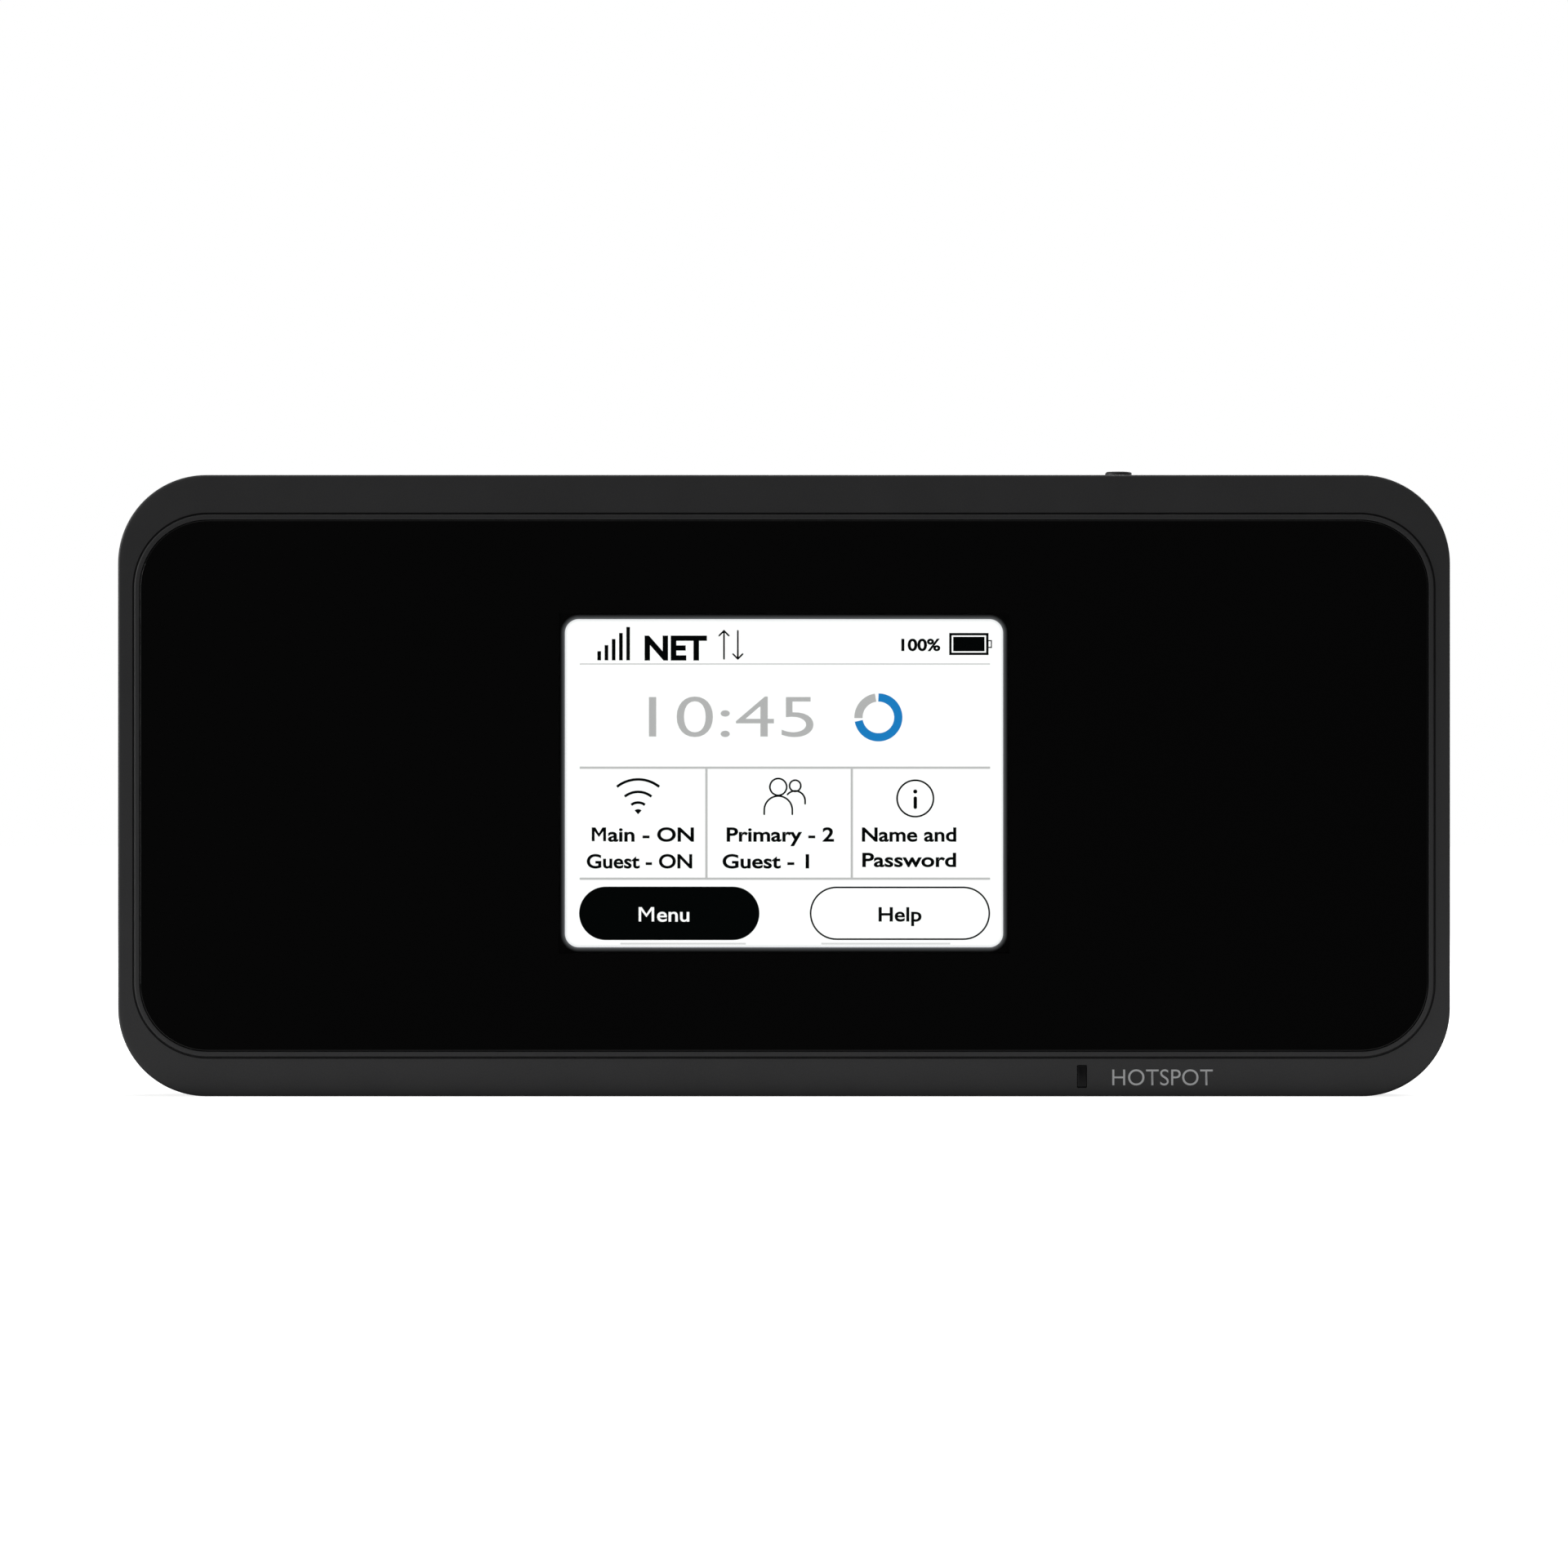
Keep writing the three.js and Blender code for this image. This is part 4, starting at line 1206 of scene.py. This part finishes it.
def drawCells():
    # three cells: wireless sign, people sign and an information sign, each with two lines of words
    u, v = -16.85, -3.49
    for radius in (3.93, 2.49, 1.26):
        strokeLine("pageBlack", arcPoints(u, v, radius, 90 - 38.5, 90 + 38.5, 28), 0.3)
    fillShape("pageBlack", [(u, v - 0.1)] + arcPoints(u, v - 0.1, 0.6, 90 - 42, 90 + 42, 12))
    line = 0.2
    for u, v, head, steps in ((-0.66, -0.43, 0.97, 40), (1.29, -0.3, 0.65, 32)):
        strokeLine("pageBlack", arcPoints(u, v, head, 0, 360, steps)[:-1], line, closed=True)
    u, shoulder = -0.66, 1.62
    body = [(u - shoulder, -3.58)] + arcPoints(u, -3.1, shoulder, 180, 0, 28) + [(u + shoulder, -3.58)]
    strokeLine("pageBlack", body, line, roundEnds=True)
    u, shoulder = 1.29, 1.15
    body = arcPoints(u, -2.04, shoulder, 140, 0, 22) + [(u + shoulder, -2.37)]
    strokeLine("pageBlack", body, line, roundEnds=True)
    centre = (15.16, -1.76)
    strokeLine("pageBlack", arcPoints(*centre, 2.1, 0, 360, 64)[:-1], line, closed=True)
    fillShape("pageBlack", arcPoints(centre[0], -0.96, 0.24, 0, 360, 18)[:-1])
    strokeLine("pageBlack", [(centre[0], -1.72), (centre[0], -2.78)], 0.4, roundEnds=True)
    cap, weight = 1.6, 0.024
    drawCapitalM("pageBlack", -22.2, -20.55, -6.70, cap, 0.33)
    writeWords("pageBlack", "ain - ON", -20.33, -10.4, -6.70, cap, weight)
    writeWords("pageBlack", "Guest - ON", -22.78, -10.6, -9.79, cap, weight)
    writeWords("pageBlack", "Primary - 2", -6.62, 5.78, -6.70, cap, weight)
    writeWords("pageBlack", "Guest - 1", -7.1, 2.9, -9.79, cap, weight)
    writeWords("pageBlack", "Name and", 9.0, 19.9, -6.70, cap, weight)
    writeWords("pageBlack", "Password", 9.04, 19.88, -9.63, cap, weight)


def drawPills():
    m = pageMarks
    fillShape("pageBlack", pillPoints(*m["darkPill"], m["pillWidth"], m["pillHeight"]))
    outline = pillPoints(*m["lightPill"], m["pillWidth"] - m["hairline"], m["pillHeight"] - m["hairline"])
    cleaned = [p for i, p in enumerate(outline) if math.dist(p, outline[i - 1]) > 1e-4]
    strokeLine("pageBlack", cleaned, m["hairline"], closed=True)
    drawCapitalM("pageWhite", -16.78, -15.0, -15.96, 1.65, 0.28, 2.0)
    writeWords("pageWhite", "enu", -14.66, -10.94, -15.96, 1.65, 0.012, 2.0)
    writeWords("pageBlack", "Help", 10.92, 15.88, -15.93, 1.62, 0.02)
    for left, right in ((-18.9, -4.4), (4.3, 19.2)):
        strokeLine("pageFaint", [(left, -18.53), (right, -18.53)], 0.2)


def drawRules():
    m = pageMarks
    for left, right, v, width in m["rules"]:
        strokeLine("pageGrey", [(left, v), (right, v)], width)
    for u, top, bottom, width in m["dividers"]:
        strokeLine("pageGrey", [(u, top), (u, bottom)], width)


def buildPageMarks():
    bars = pageMarks["bars"]
    piece = runTree("signal_bars", trees["bars"], {
        "Count": 5,
        "Base": tuple(pagePoint(bars["left"], bars["base"])),
        "Pitch": bars["pitch"] * mm,
        "Bar Width": bars["width"] * mm,
        "First Height": bars["first"] * mm,
        "Height Step": bars["step"] * mm,
        "Material": materials["pageBlack"],
    })
    finishPiece(piece, "housing", slot="display")
    drawStatusRow()
    drawHeading()
    drawCells()
    drawPills()
    drawRules()
    for colour, work in inkGroups.items():
        bmesh.ops.recalc_face_normals(work, faces=work.faces)
        turned = [face for face in work.faces if face.normal.y > 0]
        bmesh.ops.reverse_faces(work, faces=turned)
        mesh = meshFromBmesh(colour, work)
        piece = newPiece("page_marks_" + colour[4:].lower(), mesh, materials[colour])
        finishPiece(piece, "housing", slot="display")


# A plain word printed on the bezel beside the status light

bezelWord = {"words": "HOTSPOT", "left": 37.9, "right": 49.5, "rise": 1.28, "capHeight": 1.82}


def buildBezelWord():
    b = bezelWord
    work = bmesh.new()
    inkGroups["bezel"] = work
    writeWords("bezel", b["words"], 0, b["right"] - b["left"], 0, b["capHeight"], -0.004)
    del inkGroups["bezel"]
    origin = pagePoint(0, 0)
    target = Vector((b["left"] * mm, frontShell["ringFace"] - 0.008 * mm, shellLow.z + b["rise"] * mm))
    for vert in work.verts:
        vert.co += target - origin
    for face in [face for face in work.faces if face.normal.y > 0]:
        face.normal_flip()
    piece = newPiece("bezel_word", meshFromBmesh("bezel_word", work), materials["bezelPrint"])
    finishPiece(piece, "housing", slot="shell_plastic")


# Back cover

coverShape = {
    "edge": 4.0 * mm,
    "innerEdge": 2.8 * mm,
    "wall": 1.4 * mm,
    "back": 1.2 * mm,
    "flat": 7.5 * mm,
    "partingBreak": 0.12 * mm,
    "rimBehindTabs": 2.1 * mm,      # from the tips of the tabs back to the split line
    "tabWidth": 8.0 * mm,
    "tabThickness": 0.8 * mm,
    "tabGap": 0.2 * mm,
    "tabRoot": 0.4 * mm,
    "rootLength": 1.2 * mm,
    "tabReach": 3.4 * mm,
    "tabWall": 1.6 * mm,
    "tabsOnLongSides": (-22 * mm, 22 * mm),
    "tabsOnEnds": (-17 * mm, 17 * mm),
    "nailForward": 3.2 * mm,
    "nailHeight": -20 * mm,
    "nailRadius": 5.0,              # millimetres, as the turned cutter takes it
    "nailDepth": 1.0,
    "ribFrom": 51.5 * mm,
    "ribPitch": 5.6 * mm,
    "ribLength": 50 * mm,
    "ribHeight": 1.0 * mm,
}


def coverTabs():
    # guide tabs that drop just inside the front shell's walls, two on each side and each end
    c = coverShape
    work = bmesh.new()
    wallX, wallZ = shellHigh.x - c["tabWall"], bodySize["height"] / 2 - c["tabWall"]
    half, tip, root = c["tabWidth"] / 2, coverLow.y, coverLow.y + c["tabReach"]
    tabs = [(along, wallZ, True) for along in c["tabsOnLongSides"]]
    tabs += [(along, wallX, False) for along in c["tabsOnEnds"]]
    for side, (along, wall, onLongSide) in itertools.product((-1, 1), tabs):
        # the tab itself, and the thicker root that joins it to the cover's wall
        for outer, front in ((-c["tabGap"], tip), (c["tabRoot"], root - c["rootLength"])):
            near, far = sorted((side * (wall - c["tabThickness"] - c["tabGap"]), side * (wall + outer)))
            if onLongSide:
                low = (along - half, front, middle.z + near)
                high = (along + half, root, middle.z + far)
            else:
                low = (near, front, middle.z + along - half)
                high = (far, root, middle.z + along + half)
            addBlock(work, low, high, 0.15)
    return hiddenPart("coverTabs", meshFromBmesh("coverTabs", work))


def buildCover():
    c = coverShape
    front, back = coverLow.y + c["rimBehindTabs"], coverHigh.y
    inside, part = back - c["back"], c["partingBreak"]
    section = [(-c["flat"], inside)]
    section += quarterTurn(-c["wall"] - c["innerEdge"], inside, -c["wall"], inside - c["innerEdge"], 8)
    section += [
        (-c["wall"], front + part), (-c["wall"] + part, front),
        (-part, front), (-part * 0.3, front + part * 0.3), (0, front + part),
    ]
    section += quarterTurn(0, back - c["edge"], -c["edge"], back, 14, "up")
    section += [(-c["flat"], back)]
    piece = runTree("back_cover_skin", trees["edge"], {
        "Width": bodySize["width"],
        "Height": bodySize["height"],
        "Corner": bodySize["corner"],
        "Corner Steps": bodySize["cornerSteps"],
        "Centre": tuple(middle),
        "Section": sectionCurve("coverSection", section),
        "Material": materials["shell"],
    })
    closeEnds(piece)
    modifier = piece.modifiers.new("tabs", "BOOLEAN")
    modifier.operation = "UNION"
    modifier.solver = "EXACT"
    modifier.object = coverTabs()
    appliedMesh(piece)
    radius, depth = c["nailRadius"], c["nailDepth"]
    nail = turnedPart("nailCut", [(0, -depth), (radius, -depth), (radius, depth), (0, depth)], 64, "x")
    centre = Vector((shellHigh.x, front - c["nailForward"], middle.z + c["nailHeight"]))
    nail.data.transform(Matrix.Translation(centre))
    cutWith(piece, [nail])
    softenEdges(
        piece,
        (shellHigh.x - (depth + 0.01) * mm, front + 0.2 * mm, centre.z - radius * mm),
        (shellHigh.x + 0.01 * mm, front + 3 * mm, centre.z + radius * mm),
        0.12,
        2,
    )
    piece.data.materials.clear()
    piece.data.materials.append(materials["shell"])
    shadeByAngle(piece)
    finishPiece(piece, "back_cover", "back_cover", slot="shell_plastic")
    rib = bmesh.new()
    half = c["ribLength"] / 2
    addBlock(rib, (-0.4 * mm, -c["ribHeight"], -half), (0.4 * mm, 0.05 * mm, half), 0.12)
    ribPart = hiddenPart("rib", meshFromBmesh("rib", rib))
    for label, start in (("left", -c["ribFrom"] - 3 * c["ribPitch"]), ("right", c["ribFrom"])):
        row = runTree(f"cover_ribs_{label}", trees["row"], {
            "Count": 4,
            "Start": (start, inside, middle.z),
            "Step": (c["ribPitch"], 0, 0),
            "Part": ribPart,
            "Material": materials["shell"],
        })
        shadeByAngle(row)
        finishPiece(row, "back_cover", slot="shell_plastic")


# Turned parts, and finer copies of frame shapes that are right but plain

def turnedPart(name, profile, steps, axis="y"):
    # spins (radius, distance) pairs, in millimetres, about an axis
    work = bmesh.new()
    rings = []
    for radius, along in profile:
        ring = []
        for step in range(steps if radius else 1):
            angle = step / steps * 2 * math.pi
            a, b = radius * math.cos(angle) * mm, radius * math.sin(angle) * mm
            place = (a, along * mm, b) if axis == "y" else (along * mm, a, b)
            ring.append(work.verts.new(place))
        rings.append(ring)
    for ringA, ringB in zip(rings, rings[1:]):
        if len(ringA) == 1 and len(ringB) == 1:
            continue
        for i in range(steps):
            j = (i + 1) % steps
            turns = ((ringA, i), (ringA, j), (ringB, j), (ringB, i))
            corners = [ring[step % len(ring)] for ring, step in turns]
            work.faces.new(list(dict.fromkeys(corners)))
    bmesh.ops.recalc_face_normals(work, faces=work.faces)
    return hiddenPart(name, meshFromBmesh(name, work))


def finerCopy(node, material, bevelMm, slot, body="housing", segments=2):
    # the frame's own shape, merged, with its sharp edges broken as a mould or a press leaves them
    work = bmesh.new()
    work.from_mesh(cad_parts[node].data)
    bmesh.ops.remove_doubles(work, verts=work.verts, dist=1e-6)
    bmesh.ops.dissolve_limit(work, angle_limit=math.radians(1), verts=work.verts, edges=work.edges)
    edges = [
        edge for edge in work.edges
        if len(edge.link_faces) == 2 and edge.calc_face_angle(0.0) > math.radians(35)
    ]
    bmesh.ops.bevel(
        work, geom=edges, offset=bevelMm * mm, segments=segments, profile=0.5,
        affect="EDGES", clamp_overlap=True,
    )
    label = node + "_fine"
    piece = newPiece(label, meshFromBmesh(label, work), materials[material])
    shadeByAngle(piece, 35)
    return finishPiece(piece, body, node, slot=slot)


# Battery tray, its screws and the aerials

trayShape = {"screwCount": 8, "carriers": 4, "turnSeed": 5}
screwShape = {
    "profile": [
        (0, -1.2), (0.7, -1.2), (0.7, 0), (1.32, 0), (1.4, 0.06), (1.4, 0.42), (1.34, 0.55),
        (1.2, 0.66), (0.98, 0.74), (0.7, 0.78), (0.4, 0.795), (0, 0.8),
    ],
    "headTop": 0.8,
    "recess": 0.42,
    "slot": (0.78, 0.16),           # half length and half width of each slot of the cross
}


def buildScrews():
    screw = turnedPart("screw", screwShape["profile"], 36)
    scene.collection.objects.link(screw)
    top, (long, wide) = screwShape["headTop"], screwShape["slot"]
    floor = top - screwShape["recess"]
    slots = []
    for name, across, up in (("slotAcross", long, wide), ("slotUp", wide, long)):
        slot = bmesh.new()
        addBlock(slot, (-across * mm, floor * mm, -up * mm), (across * mm, 1.2 * mm, up * mm))
        slots.append(hiddenPart(name, meshFromBmesh(name, slot)))
    cutWith(screw, slots)
    scene.collection.objects.unlink(screw)
    names = [f"tray_screw_{i + 1}" for i in range(trayShape["screwCount"])]
    spots = bmesh.new()
    for name in names:
        low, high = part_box(name)
        spots.verts.new(((low.x + high.x) / 2, high.y - top * mm, (low.z + high.z) / 2))
    piece = runTree("tray_screws", trees["spots"], {
        "Spots": hiddenPart("screwSpots", meshFromBmesh("screwSpots", spots)),
        "Part": screw,
        "Turn Seed": trayShape["turnSeed"],
        "Material": materials["screw"],
    })
    shadeByAngle(piece, 35)
    finishPiece(piece, "housing", *names, slot="screw_steel")


def buildTray():
    finerCopy("rear_housing", "tray", 0.14, "tray_plastic")
    for i in range(trayShape["carriers"]):
        finerCopy(f"antenna_carrier_{i + 1}", "tray", 0.2, "tray_plastic")
        finerCopy(f"antenna_film_{i + 1}", "copper", 0.03, "copper_film", segments=1)
    finerCopy("sim_holder", "steel", 0.06, "steel_sheet")
    finerCopy("sim_card", "white", 0.05, "sim_plastic", "sim_card")
    finerCopy("reset_plunger", "ivory", 0.08, "sim_plastic", "reset_key")
    finerCopy("rating_label", "label", 0.02, "label", segments=1)
    printRules("rating_print", "rating_label", "housing", [
        (0.04, 0.06, 0.96, 0.09), (0.04, 0.91, 0.96, 0.94), (0.08, 0.2, 0.3, 0.8),
    ], "label")


# Battery, its contacts and the spring block that meets them

contactShape = {
    "count": 4,
    "pitch": 2.8 * mm,
    "blade": (0.8 * mm, 2.5 * mm, 0.36 * mm),
    "pad": (1.2 * mm, 3.9 * mm, 0.14 * mm),
}


def buildBattery():
    finerCopy("battery_cell", "wrap", 0.05, "battery_wrap", "battery", 1)
    finerCopy("battery_cap", "nylon", 0.2, "dark_plastic", "battery")
    finerCopy("battery_label", "label", 0.02, "label", "battery", 1)
    printRules("battery_print", "battery_label", "battery", [
        (0.03, 0.88, 0.97, 0.9), (0.03, 0.1, 0.97, 0.115), (0.05, 0.16, 0.12, 0.18),
        (0.88, 0.16, 0.95, 0.18), (0.912, 0.138, 0.918, 0.202),
    ], "label")
    finerCopy("battery_connector", "nylon", 0.1, "dark_plastic")
    blockLow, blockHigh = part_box("battery_connector")
    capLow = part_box("battery_cap")[0]
    c = contactShape
    firstX = (blockLow.x + blockHigh.x) / 2 - 1.5 * c["pitch"]
    bladeStart = (firstX, blockLow.y + 3.3 * mm, blockHigh.z - 0.5 * mm)
    padStart = (firstX, capLow.y + 0.8 * mm, capLow.z + 1.08 * mm)
    rows = (
        ("connector_blades", c["blade"], 0.1, bladeStart, "housing"),
        ("battery_pads", c["pad"], 0.05, padStart, "battery"),
    )
    for name, (width, depth, height), bevelMm, start, body in rows:
        part = bmesh.new()
        addBlock(part, (-width / 2, 0, 0), (width / 2, depth, height), bevelMm)
        row = runTree(name, trees["row"], {
            "Count": c["count"],
            "Start": start,
            "Step": (c["pitch"], 0, 0),
            "Part": hiddenPart(name + "Part", meshFromBmesh(name, part)),
            "Material": materials["gold"],
        })
        finishPiece(row, body, slot="steel_sheet")


def printRules(name, node, body, rules, slot):
    # plain printed lines and blocks on a label, as shares of its width and height
    low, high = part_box(node)
    work = bmesh.new()
    for left, bottom, right, top in rules:
        corners = ((left, bottom), (left, top), (right, top), (right, bottom))
        work.faces.new([
            work.verts.new((
                high.x - (high.x - low.x) * u,
                high.y + 0.012 * mm,
                low.z + (high.z - low.z) * v,
            ))
            for u, v in corners
        ])
    for face in work.faces:
        face.normal_update()
        if face.normal.y < 0:
            face.normal_flip()
    piece = newPiece(name, meshFromBmesh(name, work), materials["print"])
    finishPiece(piece, body, slot=slot)


print("pieces are being built")
buildFrontShell()
buildPowerKey()
buildLightGuide()
buildPort()
buildGlass()
buildInk()
buildPage()
buildPageMarks()
buildBezelWord()
print("front finished, building the back")
buildCover()
buildTray()
buildScrews()
buildBattery()


# CAD nodes that stay, each with its own finish

nodeFinish = {
    "lens_adhesive": "tape", "display_backlight": "white", "display_bracket": "steel",
    "display_flex": "amber", "heat_spreader": "graphite", "main_board": "board",
    "modem_shield": "steel", "processor_shield": "steel", "radio_shield": "steel", "power_shield": "steel",
    "modem_thermal_pad": "silicone", "processor_thermal_pad": "silicone",
    "mmwave_module_left": "nylon", "mmwave_module_right": "nylon", "mmwave_module_top": "nylon",
    "power_switch": "nylon", "power_switch_plunger": "ivory", "status_led": "white",
    "battery_connector": "nylon", "sim_holder": "steel", "sim_card": "white",
    "reset_switch": "nylon", "reset_plunger": "ivory", "rear_housing": "tray", "rating_label": "label",
    "battery_cell": "wrap", "battery_cap": "nylon", "battery_label": "label",
}
for name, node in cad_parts.items():
    finish = nodeFinish.get(name)
    if name.startswith("tray_screw"):
        finish = "screw"
    if name.startswith("antenna_carrier"):
        finish = "tray"
    if name.startswith("antenna_film"):
        finish = "copper"
    if finish:
        node.data.materials.clear()
        node.data.materials.append(materials[finish])
print("frame nodes finished")


# Studio: floor, lights and camera

studio = {
    "lens": 300.0,
    "frameWidth": 181.0 * mm,       # how much width the camera takes in, at the glass
    "cameraRise": 0.19 * mm,
    "floorRadius": 6.0,
    "floorGlow": (0.8, 1.0),        # the paper's painted glow: weaker under the body, and full far from it
    "floorReach": (0.12, 0.7),
    "surround": 0.23,               # how bright the room is to everything but the camera
    "overhead": 1.5,                # times that, high up, and near the floor
    "underfoot": 0.65,
    # painted reflection: a glowing strip on the floor by the front that only the glass sees
    "gloss": {"halfWidth": 0.6, "near": -0.012, "far": -0.2, "lift": 0.3 * mm, "glow": (0.9, 0.05)},
    "card": {"halfSize": 0.35, "place": -1.25, "glow": 0.013},     # painted reflection: a faintly glowing dark card that only the glass sees, straight ahead
}
softboxes = (       # name, place, width, height, watts
    ("overhead softbox", (0.0, 0.1, 1.0), 0.9, 0.9, 2.2),
    ("left softbox", (-0.9, -0.06, 0.12), 0.3, 0.5, 5.0),
    ("rear softbox", (0.5, 1.1, 0.7), 1.0, 0.6, 14.0),
)


def fadingGlow(tree, shader, source, nearAndFar, glows, **settings):
    # emission that changes from one strength to another over a distance
    glow = addNode(tree, "ShaderNodeMapRange", {
        "Value": source,
        "From Min": nearAndFar[0],
        "From Max": nearAndFar[1],
        "To Min": glows[0],
        "To Max": glows[1],
    }, **settings)
    tree.links.new(glow.outputs[0], shader.inputs["Emission Strength"])


def flatSheet(name, corners, material):
    work = bmesh.new()
    work.faces.new([work.verts.new(corner) for corner in corners])
    return newPiece(name, meshFromBmesh(name, work), material)


def buildFloor():
    work = bmesh.new()
    bmesh.ops.create_circle(work, cap_ends=True, radius=studio["floorRadius"], segments=96)
    material, tree, shader = startMaterial("studio paper, white", Roughness=0.9)
    shader.inputs["Base Color"].default_value = linearColor("#BBBBBB")
    shader.inputs["Emission Color"].default_value = (1, 1, 1, 1)
    place = addNode(tree, "ShaderNodeTexCoord")
    away = addNode(tree, "ShaderNodeVectorMath", {0: place.outputs["Object"]}, operation="LENGTH")
    # painted light: the paper glows by itself, less under the body than far from it
    fadingGlow(tree, shader, away.outputs["Value"], studio["floorReach"], studio["floorGlow"])
    floor = newPiece("studio_floor", meshFromBmesh("studio_floor", work), material)
    floor.visible_diffuse = False      # it lights nothing, so the shell keeps its even grey
    floor.visible_glossy = False


def addSoftbox(name, place, width, height, watts):
    light = bpy.data.lights.new(name, "AREA")
    light.shape = "RECTANGLE"
    light.size, light.size_y = width, height
    light.energy = watts
    lamp = bpy.data.objects.new(name, light)
    lamp.location = place
    lamp.rotation_euler = (middle - Vector(place)).to_track_quat("-Z", "Y").to_euler()
    scene.collection.objects.link(lamp)


def buildRoom():
    # the camera sees white; what lights and mirrors is grey, brighter overhead than near the floor
    world = bpy.data.worlds.new("studio")
    scene.world = world
    world.use_nodes = True
    tree = world.node_tree
    tree.nodes.clear()
    path = addNode(tree, "ShaderNodeLightPath")
    seen = addNode(tree, "ShaderNodeBackground", {"Color": (1, 1, 1, 1), "Strength": 1.0})
    place = addNode(tree, "ShaderNodeTexCoord")
    apart = addNode(tree, "ShaderNodeSeparateXYZ", {0: place.outputs["Generated"]})
    height = addNode(tree, "ShaderNodeMapRange", {
        "Value": apart.outputs["Z"],
        "From Min": -0.6,
        "From Max": 0.9,
        "To Min": studio["surround"] * studio["underfoot"],
        "To Max": studio["surround"] * studio["overhead"],
    }, interpolation_type="SMOOTHSTEP")
    lit = addNode(tree, "ShaderNodeBackground", {"Color": (1, 1, 1, 1), "Strength": height.outputs[0]})
    both = addNode(tree, "ShaderNodeMixShader", {
        0: path.outputs["Is Camera Ray"],
        1: lit.outputs[0],
        2: seen.outputs[0],
    })
    addNode(tree, "ShaderNodeOutputWorld", {"Surface": both.outputs[0]})


def glowOnly(name):
    # reflects nothing; all that it shows is its own glow
    material, tree, shader = startMaterial(name, Roughness=1.0)
    shader.inputs["Base Color"].default_value = (0, 0, 0, 1)
    shader.inputs["Specular IOR Level"].default_value = 0.0
    shader.inputs["Emission Color"].default_value = (1, 1, 1, 1)
    return material, tree, shader


def showInGlossOnly(sheet):
    sheet.visible_camera = False
    sheet.visible_diffuse = False
    sheet.visible_shadow = False


def buildMirrored():
    # painted reflections, seen only by the glass: a faintly glowing black card behind the camera, and a
    # glowing strip on the floor by the front, bright by the body and fading away from it
    card = studio["card"]
    half = card["halfSize"]
    # painted reflection: a faint glow that the glass mirrors in place of the room behind the camera
    material, tree, shader = glowOnly("dark card glow, painted reflection")
    shader.inputs["Emission Strength"].default_value = card["glow"]
    corners = [
        (middle.x + u * half, card["place"], middle.z + v * half)
        for u, v in ((-1, -1), (1, -1), (1, 1), (-1, 1))
    ]
    showInGlossOnly(flatSheet("black_card", corners, material))
    g = studio["gloss"]
    # painted reflection of lit floor: glows most by the body, fading towards the front
    material, tree, shader = glowOnly("painted floor reflection, glowing")
    place = addNode(tree, "ShaderNodeTexCoord")
    apart = addNode(tree, "ShaderNodeSeparateXYZ", {0: place.outputs["Object"]})
    reach = (g["near"], g["far"])
    fadingGlow(tree, shader, apart.outputs["Y"], reach, g["glow"], interpolation_type="SMOOTHSTEP")
    corners = [
        (side * g["halfWidth"], reach[end], g["lift"])
        for side, end in ((-1, 0), (1, 0), (1, 1), (-1, 1))
    ]
    showInGlossOnly(flatSheet("gloss_strip", corners, material))


def buildCamera():
    data = bpy.data.cameras.new("camera")
    data.lens = studio["lens"]
    distance = studio["frameWidth"] / 2 / math.tan(math.atan(data.sensor_width / 2 / data.lens))
    camera = bpy.data.objects.new("camera", data)
    camera.location = (middle.x, lensLow.y - distance, middle.z + studio["cameraRise"])
    camera.rotation_euler = (math.pi / 2, 0, 0)
    data.clip_start, data.clip_end = 0.01, 50
    scene.collection.objects.link(camera)
    scene.camera = camera


scene.view_settings.view_transform = "Standard"
buildFloor()
buildRoom()
for softbox in softboxes:
    addSoftbox(*softbox)
buildMirrored()
buildCamera()
print("studio ready")
